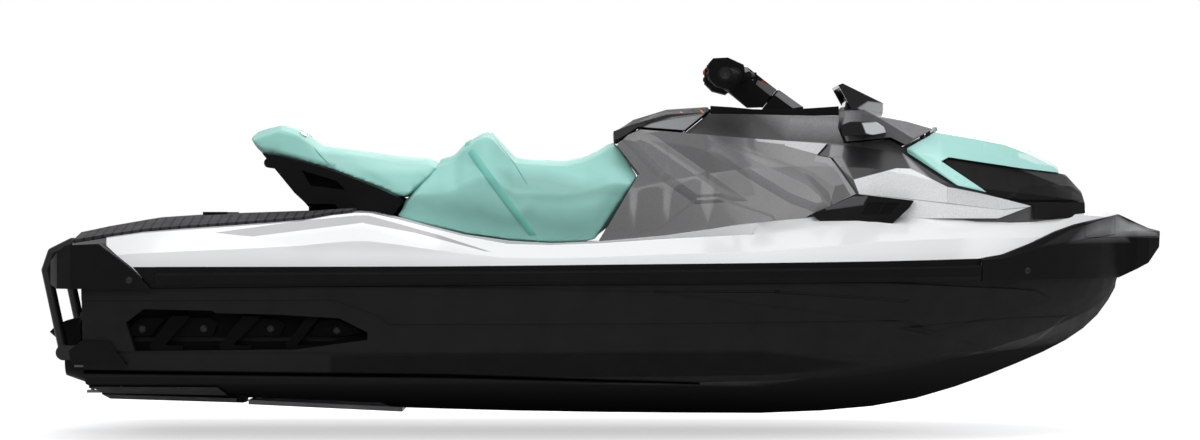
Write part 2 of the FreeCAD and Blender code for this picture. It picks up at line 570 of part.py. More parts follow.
def save_both(name, shape):
    """Port piece and its mirror image in one file."""
    save(name, Part.makeCompound([shape, mirrored(shape)]))


# Main mouldings

def hull_wire(x_share, proud):
    x = x_share * LENGTH
    half = [(0.0, smooth(KEEL_SHARES, x_share) * HEIGHT)]
    for table in (INNER_CHINE_SHARES, OUTER_CHINE_SHARES, LOW_CREASE_SHARES, RAIL_FOOT_SHARES):
        half.append((smooth(table, x_share) * BEAM + proud, smooth(table, x_share, 2) * HEIGHT))
    half.append((edge_y(x_share) + proud, bond_z(x)))
    half.append((0.0, bond_z(x)))
    return ring(x, half)


def edge_y(x_share):
    """Half breadth of the hull at the bond line."""
    return smooth(BOND_SHARES, x_share) * BEAM


def deck_wire(x_share, lift):
    x = x_share * LENGTH
    foot = edge_y(x_share) - DECK_INSET
    top_y = smooth(GUNWALE_SHARES, x_share) * BEAM
    top_z = smooth(GUNWALE_SHARES, x_share, 2) * HEIGHT + lift
    base = bond_z(x)
    shoulder_y = top_y + (foot - top_y) * SHOULDER_OUT_SHARE
    shoulder_z = base + (top_z - base) * SHOULDER_UP_SHARE
    crown = smooth(CROWN_SHARES, x_share) * HEIGHT + lift
    half = [(0.0, base), (foot, base), (shoulder_y, shoulder_z), (top_y, top_z)]
    half += [(top_y * CROWN_EDGE_SHARE, top_z + (crown - top_z) * CROWN_RISE_SHARE), (0.0, crown)]
    return ring(x, half)


def body_wire(x_share, skin):
    x = x_share * LENGTH
    half = [(0.0, BODY_FOOT_HEIGHT_SHARE * HEIGHT)]
    half.append((smooth(BODY_FOOT_SHARES, x_share) * BEAM + skin, BODY_FOOT_HEIGHT_SHARE * HEIGHT))
    waist_z = smooth(BODY_WAIST_SHARES, x_share, 2) * HEIGHT
    half.append((smooth(BODY_WAIST_SHARES, x_share) * BEAM + skin, waist_z))
    for table in (BODY_SHOULDER_SHARES, BODY_TOP_SHARES):
        y = smooth(table, x_share) * BEAM + skin
        half.append((y, smooth(table, x_share, 2) * HEIGHT + skin / 2))
    crown = smooth(BODY_CROWN_SHARES, x_share) * HEIGHT + skin
    top_y, top_z = half[-1]
    half.append((top_y * CROWN_HALF_SHARE, top_z + (crown - top_z) * CROWN_RISE_SHARE))
    half.append((0.0, crown))
    return ring(x, half)


def body_block(skin):
    return loft([body_wire(s, skin) for s in BODY_STATION_SHARES])


def deck_block_lifted(lift):
    return loft([deck_wire(s, lift) for s in DECK_STATION_SHARES])


def engine_block(room):
    """Engine's block, or with room round its sides and top, its bay."""
    long, wide, high = [size + 2 * more for size, more in zip(ENGINE_SIZE, room)]
    middle = ENGINE_MIDDLE_SHARE * LENGTH
    floor = KEEL_SHARES[3][1] * HEIGHT + ENGINE_RISE
    return box((middle - long / 2, -wide / 2, floor), (middle + long / 2, wide / 2, floor + high - room[2]))


hull_block = loft([hull_wire(s, 0.0) for s in HULL_STATION_SHARES])
deck_block = deck_block_lifted(0.0)
body_core = body_block(0.0)
body_skin = body_block(SKIN)


def make_hull():
    recess = side_prism(RECESS_SHARES, RECESS_FLOOR, BEAM)
    tunnel = box(
        (RIDE_PLATE_BACK_X - OVERRUN, -TUNNEL_HALF, -HEIGHT), (PUMP_FRONT_X, TUNNEL_HALF, TUNNEL_TOP))
    duct_top = PUMP_Z + PUMP_BORE
    duct = prism(
        [(PUMP_FRONT_X, -HEIGHT), (PUMP_FRONT_X, duct_top), (PUMP_FRONT_X + OVERRUN, duct_top),
         (DUCT_FRONT_X, KEEL_SHARES[2][1] * HEIGHT), (DUCT_FRONT_X, -HEIGHT)], -DUCT_HALF, DUCT_HALF)
    shaft = rod((PUMP_FRONT_X, 0, PUMP_Z), (SHAFT_FRONT_X + PIN_GAP, 0, PUMP_Z), SHAFT_RADIUS + PIN_GAP)
    band = loft([hull_wire(s, BAND_PROUD) for s in HULL_STATION_SHARES]).common(across(BAND_SHARES))
    hull = hull_block.fuse(band).cut(recess).cut(mirrored(recess)).cut(tunnel).cut(duct).cut(shaft)
    return hull.cut(engine_block(BAY_ROOM))


def well_plan(inset):
    """Plan of a footwell, as a tall block; its inner side clears the console's flare."""
    back, front = WELL_SHARES[0][0] * LENGTH, WELL_SHARES[-1][0] * LENGTH
    inner, wide = WELL_IN_SHARE * BEAM + inset, WELL_IN_FRONT_SHARE * BEAM + inset
    outer = WELL_OUT_SHARE * BEAM - inset
    plan = [(back, inner), (WELL_TAPER_SHARE * LENGTH, inner), (WELL_SHARES[2][0] * LENGTH, wide),
            (front, wide), (front, outer), (back, outer)]
    corners = [FreeCAD.Vector(x, y, 0) for x, y in plan]
    return Part.Face(Part.makePolygon(corners + [corners[0]])).extrude(FreeCAD.Vector(0, 0, HEIGHT))


def well_block():
    return port_side(WELL_SHARES).common(well_plan(0.0))


def make_deck():
    well = well_block()
    deck = deck_block.cut(well).cut(mirrored(well)).cut(engine_block(BAY_ROOM))
    for side in (1, -1):
        socket = rod((LATCH_X, side * LATCH_Y, 0), (LATCH_X, side * LATCH_Y, HEIGHT), LATCH_RADIUS)
        floor = latch_top() - LATCH_DEEP
        socket = socket.common(box((-LENGTH, -BEAM, floor), (LENGTH, BEAM, HEIGHT)))
        deck = deck.cut(socket)
    return deck


def latch_top():
    return smooth(CROWN_SHARES, LATCH_X / LENGTH) * HEIGHT


hull = make_hull()
save("hull", hull)
deck = make_deck()
save("deck", deck)


save("engine", engine_block((0.0, 0.0, 0.0)))

# Hull fittings


def rub_rail_wire(x_share):
    x = x_share * LENGTH
    edge = edge_y(x_share)
    low = smooth(RAIL_LOW_SHARES, x_share) * HEIGHT
    top = smooth(RAIL_TOP_SHARES, x_share) * HEIGHT
    waist = low + (top - low) * RAIL_WAIST_SHARE
    points = [
        (edge - RUB_RAIL_LAP, low), (edge + RUB_RAIL_PROUD / 2, low),
        (edge + RUB_RAIL_PROUD, low + RUB_RAIL_LAP),
        (edge + RUB_RAIL_PROUD, waist), (edge + RUB_RAIL_PROUD / 2, waist + RUB_RAIL_LAP / 2),
        (edge + RUB_RAIL_PROUD / 2, top), (edge - RUB_RAIL_LAP, top)]
    corners = [FreeCAD.Vector(x, y, z) for y, z in points]
    return Part.makePolygon(corners + [corners[0]])


rub_rail = loft([rub_rail_wire(s) for s in RAIL_STATION_SHARES]).cut(hull_block).cut(deck_block)


def bow_wire(x, bottom_y, crease_y, top_y, bottom, crease, top):
    return ring(x, [(0.0, bottom), (bottom_y, bottom), (crease_y, crease), (top_y, top), (0.0, top)])


def make_bow_bumper():
    wires = []
    for s in BOW_STATION_SHARES:
        edge = edge_y(s) + BUMPER_PROUD
        heights = [smooth(t, s) * HEIGHT for t in (BOW_FOOT_SHARES, BOW_CREASE_SHARES, BOW_TOP_SHARES)]
        wires.append(bow_wire(s * LENGTH, edge - RUB_RAIL_LAP, edge, edge - RUB_RAIL_LAP, *heights))
    for row in BOW_TIP_SHARES:
        halves, heights = [y * BEAM for y in row[1:4]], [z * HEIGHT for z in row[4:]]
        wires.append(bow_wire(row[0] * LENGTH, *halves, *heights))
    return loft(wires).cut(hull).cut(deck_block)


bow_bumper = save("bow_bumper", make_bow_bumper())
rub_rail = rub_rail.cut(hull).cut(bow_bumper)


def make_stern_bumper():
    band = across(STERN_SHARES)
    front_x = STERN_SHARES[2][0] * LENGTH
    half = smooth(BOND_SHARES, STERN_SHARES[2][0]) * BEAM + BUMPER_PROUD
    plan = [(front_x + OVERRUN, half)]
    plan += [(x * LENGTH, y * half) for x, y in STERN_CORNER_SHARES]
    plan += [(x, -y) for x, y in reversed(plan)]
    corners = [FreeCAD.Vector(x, y, 0) for x, y in plan]
    column = Part.Face(Part.makePolygon(corners + [corners[0]])).extrude(FreeCAD.Vector(0, 0, HEIGHT))
    return band.common(column).cut(hull).cut(deck_block)


stern_bumper = save("stern_bumper", make_stern_bumper())
rub_rail = rub_rail.cut(stern_bumper)
save_both("rub_rails", rub_rail)


def make_side_steps():
    """Panel in the hull's side recess: back plate, bolted pods and slanted struts."""
    shape = side_prism(RECESS_SHARES, RECESS_FLOOR, RECESS_FLOOR + STEP_PLATE)
    shape = shape.cut(side_prism(STEP_SLOT_SHARES, RECESS_FLOOR, BEAM))
    for outline, bolt in zip(POD_OUTLINE_SHARES, POD_BOLT_SHARES):
        x, z = at(*bolt)
        shape = shape.fuse(side_prism(outline, RECESS_FLOOR, RECESS_FLOOR + POD_DEEP))
        shape = shape.fuse(cross_rod(x, z, RECESS_FLOOR, RECESS_FLOOR + POD_DEEP + BOSS_PROUD, BOSS_RADIUS))
    for outline in STRUT_SHARES:
        shape = shape.fuse(side_prism(outline, RECESS_FLOOR, RECESS_FLOOR + STRUT_DEEP))
    return shape.common(side_prism(RECESS_SHARES, 0, BEAM))


save_both("side_steps", make_side_steps())

corner = side_prism(CORNER_SHARES, CORNER_OUT - CORNER_WIDE, CORNER_OUT).cut(hull)
save_both("stern_corners", corner)


def make_shoe():
    shoe = lifted(hull_block, 0, 0, -SHOE_THICK).common(side_prism(SHOE_SHARES, SHOE_IN, SHOE_OUT))
    return shoe.cut(hull_block)


save_both("bottom_shoes", make_shoe())


def make_ride_plate():
    keel_back = smooth(KEEL_SHARES, RIDE_PLATE_BACK_X / LENGTH) * HEIGHT
    chine_y, chine_z = INNER_CHINE_SHARES[0][1] * BEAM, INNER_CHINE_SHARES[0][2] * HEIGHT
    rise = (chine_z - keel_back) * RIDE_PLATE_HALF / chine_y
    wires = []
    for x in (RIDE_PLATE_BACK_X, RIDE_PLATE_FRONT_X):
        keel = smooth(KEEL_SHARES, x / LENGTH) * HEIGHT
        low = keel - RIDE_PLATE_THICK
        top = keel + RIDE_PLATE_THICK / 2
        wires.append(Part.makePolygon([FreeCAD.Vector(x, y, z) for y, z in (
            (0, low), (RIDE_PLATE_HALF, low + rise), (RIDE_PLATE_HALF, top + rise), (0, top),
            (-RIDE_PLATE_HALF, top + rise), (-RIDE_PLATE_HALF, low + rise), (0, low))]))
    return loft(wires).cut(hull)


ride_plate = save("ride_plate", make_ride_plate())

# Jet pump, from its front flange aft


def vane(x_mid, long, thick, inner, outer, inner_angle, outer_angle):
    """One blade, twisted from its root at the hub to its tip."""
    wires = []
    for radius, angle in ((inner, inner_angle), (outer, outer_angle)):
        lean = math.radians(angle)
        along = FreeCAD.Vector(math.cos(lean), math.sin(lean), 0)
        side = FreeCAD.Vector(-math.sin(lean), math.cos(lean), 0)
        length = long / max(math.cos(lean), SHOULDER_UP_SHARE)
        centre = FreeCAD.Vector(x_mid, 0, PUMP_Z + radius)
        corners = []
        for a, b in ((-1, 0), (0, -1), (1, 0), (0, 1)):
            corners.append(centre + along * (a * length / 2) + side * (b * thick))
        wires.append(Part.makePolygon(corners + [corners[0]]))
    return Part.makeLoft(wires, True, True)


def bladed(blade, count, hub):
    shape = hub
    for i in range(count):
        turn = blade.copy()
        turn.rotate(FreeCAD.Vector(0, 0, PUMP_Z), FreeCAD.Vector(1, 0, 0), 360.0 * i / count)
        shape = shape.fuse(turn)
    return shape


def make_impeller():
    front = IMPELLER_X + IMPELLER_LONG / 2
    back = IMPELLER_X - IMPELLER_LONG / 2
    hub = cone(front, SHAFT_RADIUS + BLADE_THICK, back, HUB_RADIUS)
    shaft = rod((front - OVERRUN, 0, PUMP_Z), (SHAFT_FRONT_X, 0, PUMP_Z), SHAFT_RADIUS)
    tip = PUMP_BORE - TIP_GAP
    chord, beyond = IMPELLER_LONG * BLADE_CHORD_SHARE, PUMP_BORE + PUMP_WALL
    blade = vane(IMPELLER_X, chord, BLADE_THICK, SHAFT_RADIUS, beyond, PITCH_ROOT, PITCH_TIP)
    blade = blade.common(cone(front, tip, back, tip))
    return bladed(blade, BLADE_COUNT, hub.fuse(shaft))


def make_pump_housing():
    outer = PUMP_BORE + PUMP_WALL
    body = cone(PUMP_FRONT_X, outer, PUMP_BACK_X, outer)
    flange_half = TUNNEL_HALF - SEAM
    flange = box(
        (PUMP_FRONT_X - PUMP_WALL, -flange_half, PUMP_Z - outer), (PUMP_FRONT_X, flange_half, TUNNEL_TOP))
    rim = cone(PUMP_BACK_X + PUMP_WALL * 2, outer + PUMP_WALL, PUMP_BACK_X, outer + PUMP_WALL)
    body = body.fuse(flange).fuse(rim)
    body = body.cut(cone(PUMP_FRONT_X + OVERRUN, PUMP_BORE, PUMP_BACK_X - OVERRUN, PUMP_BORE))
    front = STATOR_X + STATOR_LONG / 2
    back = STATOR_X - STATOR_LONG / 2
    blade = vane(STATOR_X, STATOR_LONG, VANE_THICK, HUB_RADIUS / 2, outer, VANE_LEAN, VANE_LEAN)
    blade = blade.common(cone(front, PUMP_BORE + PUMP_WALL / 2, back, PUMP_BORE + PUMP_WALL / 2))
    return body.fuse(bladed(blade, VANE_COUNT, cone(front, HUB_RADIUS, back, HUB_RADIUS)))


def make_venturi():
    outer = PUMP_BORE + PUMP_WALL
    shell = cone(PUMP_BACK_X, outer, VENTURI_BACK_X, VENTURI_RADIUS + NOZZLE_WALL)
    bore = cone(PUMP_BACK_X, PUMP_BORE, VENTURI_BACK_X, VENTURI_RADIUS)
    shape = shell.cut(bore)
    rim = cone(PUMP_BACK_X, outer + PUMP_WALL, PUMP_BACK_X - PUMP_WALL, outer + PUMP_WALL)
    shape = shape.fuse(rim.cut(cone(PUMP_BACK_X, PUMP_BORE, PUMP_BACK_X - PUMP_WALL, PUMP_BORE)))
    reach = NOZZLE_MOUTH + NOZZLE_WALL + MOVING_GAP
    for side in (1, -1):
        low, high = sorted((PUMP_Z + side * reach, PUMP_Z + side * (reach + EAR_THICK)))
        shape = shape.fuse(box((NOZZLE_PIVOT_X - EAR_HALF, -EAR_HALF, low), (PUMP_BACK_X, EAR_HALF, high)))
        pin_from = PUMP_Z + side * (NOZZLE_MOUTH + SEAM)
        pin_to = PUMP_Z + side * reach
        shape = shape.fuse(rod((NOZZLE_PIVOT_X, 0, pin_from), (NOZZLE_PIVOT_X, 0, pin_to), NOZZLE_PIN))
        inside = side * (BUCKET_HALF + MOVING_GAP)
        y_low, y_high = sorted((inside, inside + side * ARM_THICK))
        bottom, top = PUMP_Z - ARM_HALF, PUMP_Z + ARM_HALF
        shape = shape.fuse(box((BUCKET_PIVOT_X - ARM_HALF, y_low, bottom), (PUMP_BACK_X, y_high, top)))
        web = box(
            (PUMP_BACK_X - PUMP_WALL, min(0, y_high), bottom), (PUMP_BACK_X, max(0, y_high), top))
        web = web.cut(cone(PUMP_BACK_X + OVERRUN, PUMP_BORE, PUMP_BACK_X - OVERRUN, PUMP_BORE))
        pin = cross_rod(BUCKET_PIVOT_X, PUMP_Z, side * (BUCKET_HALF - BUCKET_WALL), inside, BUCKET_PIN)
        shape = shape.fuse(web).fuse(pin)
    return shape


def make_nozzle():
    shell = cone(NOZZLE_FRONT_X, NOZZLE_MOUTH, NOZZLE_BACK_X, NOZZLE_OUTLET + NOZZLE_WALL)
    bore = cone(NOZZLE_FRONT_X, NOZZLE_MOUTH - NOZZLE_WALL, NOZZLE_BACK_X, NOZZLE_OUTLET)
    top = NOZZLE_MOUTH + NOZZLE_WALL
    boss = rod((NOZZLE_PIVOT_X, 0, PUMP_Z - top), (NOZZLE_PIVOT_X, 0, PUMP_Z + top), NOZZLE_PIN * 2)
    low, high = (NOZZLE_PIVOT_X, 0, PUMP_Z - HEIGHT), (NOZZLE_PIVOT_X, 0, PUMP_Z + HEIGHT)
    return shell.fuse(boss).cut(bore).cut(rod(low, high, NOZZLE_PIN + PIN_GAP))


def sector(radius, half, start, end):
    """Pie slice round the bucket's pivot, angles up from the bow direction."""
    points = [(BUCKET_PIVOT_X, PUMP_Z)]
    for i in range(BUCKET_FACETS + 1):
        angle = math.radians(start + (end - start) * i / BUCKET_FACETS)
        points.append((BUCKET_PIVOT_X + radius * math.cos(angle), PUMP_Z + radius * math.sin(angle)))
    return prism(points, -half, half)


def make_bucket():
    shell = sector(BUCKET_RADIUS, BUCKET_HALF, BUCKET_FROM, BUCKET_TO)
    shell = shell.fuse(cross_rod(BUCKET_PIVOT_X, PUMP_Z, -BUCKET_HALF, BUCKET_HALF, BUCKET_PIN * 2))
    inside = BUCKET_HALF - BUCKET_WALL
    shell = shell.cut(cross_rod(BUCKET_PIVOT_X, PUMP_Z, -inside, inside, BUCKET_RADIUS - BUCKET_WALL))
    return shell.cut(cross_rod(BUCKET_PIVOT_X, PUMP_Z, -BEAM, BEAM, BUCKET_PIN + PIN_GAP))


save("pump_housing", make_pump_housing())
save("pump_venturi", make_venturi())
save("impeller", make_impeller())
save("steering_nozzle", make_nozzle())
save("reverse_bucket", make_bucket())


def make_grate():
    """Bars over the intake, fixed in a frame under the duct."""
    front, back = DUCT_FRONT_X + OVERRUN / 2, PUMP_FRONT_X + PUMP_WALL
    z_front = smooth(KEEL_SHARES, front / LENGTH) * HEIGHT
    z_back = smooth(KEEL_SHARES, back / LENGTH) * HEIGHT
    outline = [(back, z_back - GRATE_BAR_DEEP / 2), (front, z_front - GRATE_BAR_DEEP / 2),
               (front, z_front + GRATE_BAR_DEEP / 2), (back, z_back + GRATE_BAR_DEEP / 2)]
    plate = prism(outline, -DUCT_HALF - GRATE_BAR_DEEP, DUCT_HALF + GRATE_BAR_DEEP)
    pitch = 2 * DUCT_HALF / (GRATE_BARS + 1)
    for i in range(GRATE_BARS + 1):
        y = -DUCT_HALF + pitch * i
        y_low, y_high = y + GRATE_BAR_WIDE / 2, y + pitch - GRATE_BAR_WIDE / 2
        plate = plate.cut(box((back + OVERRUN / 2, y_low, -HEIGHT), (front - OVERRUN / 2, y_high, 0)))
    return plate.cut(hull)


save("intake_grate", make_grate())

# Upper body

def hinge_slot(centre, y):
    """Room in the lid for one ear, open below and towards the bow."""
    x, z = centre
    reach = HINGE_EAR + HINGE_SWING
    half = HINGE_EAR_WIDE / 2 + HINGE_SIDE_GAP
    return box((x - reach, y - half, z - HINGE_ROOT * 2), (x + HINGE_ROOT * 2, y + half, z + reach))


def hinge_pin(centre, y):
    x, z = centre
    half = HINGE_EAR_WIDE / 2 + HINGE_SIDE_GAP + HINGE_EAR
    return cross_rod(x, z, y - half, y + half, HINGE_PIN)


def hinge_ear(centre, y):
    x, z = centre
    half = HINGE_EAR_WIDE / 2
    ear = cross_rod(x, z, y - half, y + half, HINGE_EAR)
    ear = ear.fuse(box((x - HINGE_EAR, y - half, z - HINGE_ROOT), (x + HINGE_EAR, y + half, z)))
    return ear.cut(cross_rod(x, z, y - half, y + half, HINGE_PIN + PIN_GAP))


glove_hinge = at(*GLOVE_HINGE_SHARES)
front_hinge = at(*FRONT_HINGE_SHARES)
glove_lid = across(GLOVE_LID_SHARES).common(body_skin).cut(deck_block)
core = across(CORE_SHARES).common(body_core).cut(deck_block)
core = core.cut(side_prism(GLOVE_BIN_SHARES, -GLOVE_BIN_HALF, GLOVE_BIN_HALF))
core = core.cut(side_prism(FRONT_BIN_SHARES, -FRONT_BIN_HALF, FRONT_BIN_HALF))
front_lid = across(FRONT_LID_SHARES).common(body_block(LID_SKIN))
for side in (1, -1):
    glove_lid = glove_lid.cut(hinge_slot(glove_hinge, side * GLOVE_HINGE_Y))
    glove_lid = glove_lid.fuse(hinge_pin(glove_hinge, side * GLOVE_HINGE_Y))
    front_lid = front_lid.cut(hinge_slot(front_hinge, side * FRONT_HINGE_Y))
    front_lid = front_lid.fuse(hinge_pin(front_hinge, side * FRONT_HINGE_Y))
    core = core.fuse(hinge_ear(glove_hinge, side * GLOVE_HINGE_Y))
    core = core.fuse(hinge_ear(front_hinge, side * FRONT_HINGE_Y))
hatch = front_lid
hatch_trim = hatch.common(across(HATCH_TRIM_SHARES)).cut(body_block(LID_SKIN - HATCH_TRIM_THICK))
front_lid = hatch.cut(hatch_trim)
save("hatch_trim", hatch_trim)
save("glove_box_lid", glove_lid)
save("front_lid", front_lid)


def skin_piece(outline, skin):
    return outline.common(body_block(skin)).cut(body_core).cut(deck_block)


side_panel = skin_piece(port_side(SIDE_PANEL_SHARES), SKIN)
save_pair("side_panel", side_panel)
wing = skin_piece(port_side(WING_SHARES), SKIN)
save_both("wing_panels", wing)
hood = skin_piece(across(HOOD_SHARES), HOOD_SKIN)
save("hood", hood)
nose = skin_piece(across(NOSE_SHARES), SKIN).cut(hood)
save("nose_grille", nose)
vent = skin_piece(port_side(VENT_SHARES), POD_SKIN).cut(side_panel).cut(wing)
save_both("air_intakes", vent)

shield = side_prism(SHIELD_SHARES, -SHIELD_HALF, SHIELD_HALF)
inside = SHIELD_HALF - SHIELD_WALL
shield = shield.cut(side_prism(SHIELD_INSIDE_SHARES, -inside, inside)).cut(hatch)
save("windshield", shield)
save("gauge", side_prism(GAUGE_SHARES, -GAUGE_HALF, GAUGE_HALF).cut(hatch).cut(shield))


def make_mirror():
    wires = []
    for shares, y in ((MIRROR_IN_SHARES, MIRROR_IN), (MIRROR_OUT_SHARES, MIRROR_OUT)):
        corners = [FreeCAD.Vector(at(*p)[0], y, at(*p)[1]) for p in shares]
        wires.append(Part.makePolygon(corners + [corners[0]]))
    return loft(wires).cut(hatch)


save_both("mirrors", make_mirror())

# Seats and what carries them


def seat_wire(x_share):
    x = x_share * LENGTH
    crown = smooth(SEAT_CROWN_SHARES, x_share) * HEIGHT
    foot = SEAT_FOOT_SHARE * HEIGHT
    side = smooth(SEAT_SIDE_HALF_SHARES, x_share) * BEAM
    top = smooth(SEAT_TOP_HALF_SHARES, x_share) * BEAM
    edge = crown - SEAT_EDGE_DROP_SHARE * HEIGHT
    waist = foot + (crown - foot) * SEAT_WAIST_SHARE
    return ring(x, [
        (0.0, foot), (side, foot), (side, waist), (top, edge),
        (top * SEAT_CROWN_HALF_SHARE, edge + (crown - edge) * CROWN_RISE_SHARE), (0.0, crown)])


seat_block = loft([seat_wire(s) for s in SEAT_STATION_SHARES]).cut(deck_block_lifted(SOFT_GAP))
rear_outline = REAR_SEAT_END_SHARES + SEAT_UNDERSIDE_SHARES
save("rear_seat", seat_block.common(across(rear_outline)))
save("rider_seat", seat_block.common(across(RIDER_SEAT_SHARES)))
base_outline = [(x, z - SOFT_GAP) for x, z in [at(*p) for p in SEAT_UNDERSIDE_SHARES]]
base_outline += [at(*p) for p in SEAT_BASE_END_SHARES]
seat_base = prism(base_outline, -SEAT_BASE_HALF, SEAT_BASE_HALF).cut(deck_block)
save("seat_base", seat_base)


def make_grab_rail():
    plate = side_prism(RAIL_PLATE_SHARES, GRAB_RAIL_IN, GRAB_RAIL_OUT)
    plate = plate.cut(side_prism(RAIL_SLOT_SHARES, 0, BEAM))
    shape = plate.fuse(mirrored(plate))
    x, z = at(*GRAB_BAR_SHARES)
    shape = shape.fuse(cross_rod(x, z, -GRAB_RAIL_OUT, GRAB_RAIL_OUT, GRAB_BAR_RADIUS))
    for brace in GRAB_BRACE_SHARES:
        x, z = at(*brace)
        shape = shape.fuse(cross_rod(x, z, -GRAB_RAIL_OUT, GRAB_RAIL_OUT, GRAB_BRACE_RADIUS))
    return shape.cut(seat_base).cut(deck_block)


grab_rail = save("grab_rail", make_grab_rail())


def make_platform_mat():
    x_from, x_to = MAT_FROM_SHARE * LENGTH, MAT_TO_SHARE * LENGTH
    half = smooth(GUNWALE_SHARES, MAT_FROM_SHARE) * BEAM - MAT_EDGE
    mat = lifted(deck_block, 0, 0, MAT_THICK).common(box((x_from, -half, 0), (x_to, half, HEIGHT)))
    mat = mat.cut(deck_block).cut(stern_bumper).cut(seat_base).cut(grab_rail)
    for side in (1, -1):
        mat = mat.cut(rod((LATCH_X, side * LATCH_Y, 0), (LATCH_X, side * LATCH_Y, HEIGHT), LATCH_RADIUS))
    return mat


save("platform_mat", make_platform_mat())


def make_latches():
    low = latch_top() - LATCH_DEEP
    high = latch_top() + LATCH_PROUD + MAT_THICK
    cups = []
    for side in (1, -1):
        y = side * LATCH_Y
        cup = rod((LATCH_X, y, low), (LATCH_X, y, high), LATCH_RADIUS)
        cups.append(cup.cut(rod((LATCH_X, y, low + LATCH_PROUD), (LATCH_X, y, high), LATCH_BORE)))
    return Part.makeCompound(cups)


save("platform_latches", make_latches())


def make_well_mat():
    (x_low, z_low), (x_high, z_high) = [at(*p) for p in WELL_SHARES[1:3]]
    points = [(x_low, z_low), (x_high, z_high), (x_high, z_high + WELL_MAT), (x_low, z_low + WELL_MAT)]
    return prism(points, 0, BEAM).common(well_plan(SEAM))


save_both("footwell_mats", make_well_mat())

# Steering: fixed column, and the bar that turns on it

tilt = math.radians(STEER_TILT)
steer_axis = FreeCAD.Vector(-math.cos(tilt), 0, math.sin(tilt))
steer_point = FreeCAD.Vector(STEER_JOINT_SHARES[0] * LENGTH, 0, STEER_JOINT_SHARES[1] * HEIGHT)


def steer_rod(start, end, radius):
    """Rod on the steering axis, distances measured from the joint towards the rider."""
    return rod(steer_point + steer_axis * start, steer_point + steer_axis * end, radius)


def steer_half_space(start, end):
    """Block between two planes square to the steering axis."""
    return steer_rod(start, end, LENGTH / 2)


column = side_prism(COLUMN_SHARES, -COLUMN_HALF, COLUMN_HALF).cut(steer_half_space(-SEAM / 2, LENGTH))
column = column.cut(body_core).cut(steer_rod(-STEM_DEEP, STEM_DEEP, STEM_RADIUS + PIN_GAP))
save("steering_column", column)
core = core.cut(steer_rod(-STEM_DEEP, STEM_DEEP, STEM_RADIUS + PIN_GAP))
save("console", core)

bar_mid = at(*BAR_MID_SHARES)
bar_end = at(*GRIP_SHARES)


def bar_point(y):
    """Centre line of the bar, straight in the middle and swept aft to the grips."""
    t = max(0.0, (y - BAR_BEND_Y) / (BAR_END - BAR_BEND_Y))
    x, z = [a + (b - a) * t for a, b in zip(bar_mid, bar_end)]
    return FreeCAD.Vector(x, y, z)


def make_bar():
    half = rod(bar_point(0), bar_point(BAR_BEND_Y), BAR_RADIUS)
    half = half.fuse(Part.makeSphere(BAR_RADIUS, bar_point(BAR_BEND_Y)))
    half = half.fuse(rod(bar_point(BAR_BEND_Y), bar_point(BAR_END), BAR_RADIUS))
    return half.fuse(mirrored(half))


bar = save("handlebar", make_bar())
neck = side_prism(NECK_SHARES, -NECK_HALF, NECK_HALF).common(steer_half_space(SEAM / 2, LENGTH))
neck = neck.fuse(steer_rod(-STEM_DEEP + SEAM, STEM_DEEP / 2, STEM_RADIUS)).cut(bar)
save("handlebar_neck", neck)


def make_grip():
    start, end = bar_point(BAR_END - GRIP_LONG), bar_point(BAR_END)
    return rod(start, end, GRIP_RADIUS).cut(rod(start, end, BAR_RADIUS))


def make_control():
    """Switch housing on the bar with its lever in front of the grip."""
    pod = side_prism(SWITCH_SHARES, SWITCH_IN, SWITCH_OUT)
    middle = bar_point((SWITCH_IN + SWITCH_OUT) / 2)
    reach = middle.x + LEVER_REACH
    start = FreeCAD.Vector(reach, SWITCH_OUT - LEVER_WIDE, middle.z)
    lever = rod(start, start + FreeCAD.Vector(-LEVER_WIDE, GRIP_LONG, 0), LEVER_THICK)
    knuckle = box(
        (middle.x, SWITCH_OUT - LEVER_WIDE * 2, middle.z - LEVER_WIDE / 2),
        (reach + LEVER_THICK, SWITCH_OUT, middle.z + LEVER_WIDE / 2))
    pod = pod.fuse(knuckle).fuse(lever)
    return pod.cut(rod(bar_point(BAR_BEND_Y), bar_point(BAR_END), BAR_RADIUS))


save_both("grips", make_grip())
save_both("bar_controls", make_control())

# Boarding ladder and its lugs on the transom


stern_x = STERN_SHARES[4][0] * LENGTH
ladder_path = [(stern_x + out, share * HEIGHT) for out, share in zip(LADDER_OUT, LADDER_HEIGHT_SHARES)]


def make_ladder():
    points = [FreeCAD.Vector(x, LADDER_HALF, z) for x, z in ladder_path]
    x, z = ladder_path[0]
    shape = cross_rod(x, z, LADDER_HALF - LADDER_RADIUS, LADDER_HALF + LADDER_RADIUS, LADDER_EYE)
    for a, b in zip(points, points[1:]):
        shape = shape.fuse(rod(a, b, LADDER_RADIUS)).fuse(Part.makeSphere(LADDER_RADIUS, b))
    shape = shape.fuse(mirrored(shape))
    end_x, end_z = ladder_path[-1]
    shape = shape.fuse(cross_rod(end_x, end_z, -LADDER_HALF, LADDER_HALF, LADDER_RADIUS))
    return shape.cut(cross_rod(x, z, -BEAM, BEAM, LADDER_PIN + PIN_GAP))


save("boarding_ladder", make_ladder())


def make_ladder_lug():
    x, z = ladder_path[0]
    inner = LADDER_HALF + LADDER_RADIUS + SEAM
    outer = inner + LUG_THICK
    lug = cross_rod(x, z, inner, outer, LUG_HALF)
    lug = lug.fuse(box((x, inner, z - LUG_HALF), (TRANSOM_X, outer, z + LUG_HALF)))
    deep = LUG_HALF * 2
    foot = box((TRANSOM_X - LUG_THICK, inner - LUG_HALF, z - deep), (TRANSOM_X, outer + LUG_HALF, z + deep))
    lug = lug.fuse(foot)
    return lug.fuse(cross_rod(x, z, LADDER_HALF - LADDER_RADIUS, outer, LADDER_PIN))


save_both("ladder_lugs", make_ladder_lug())


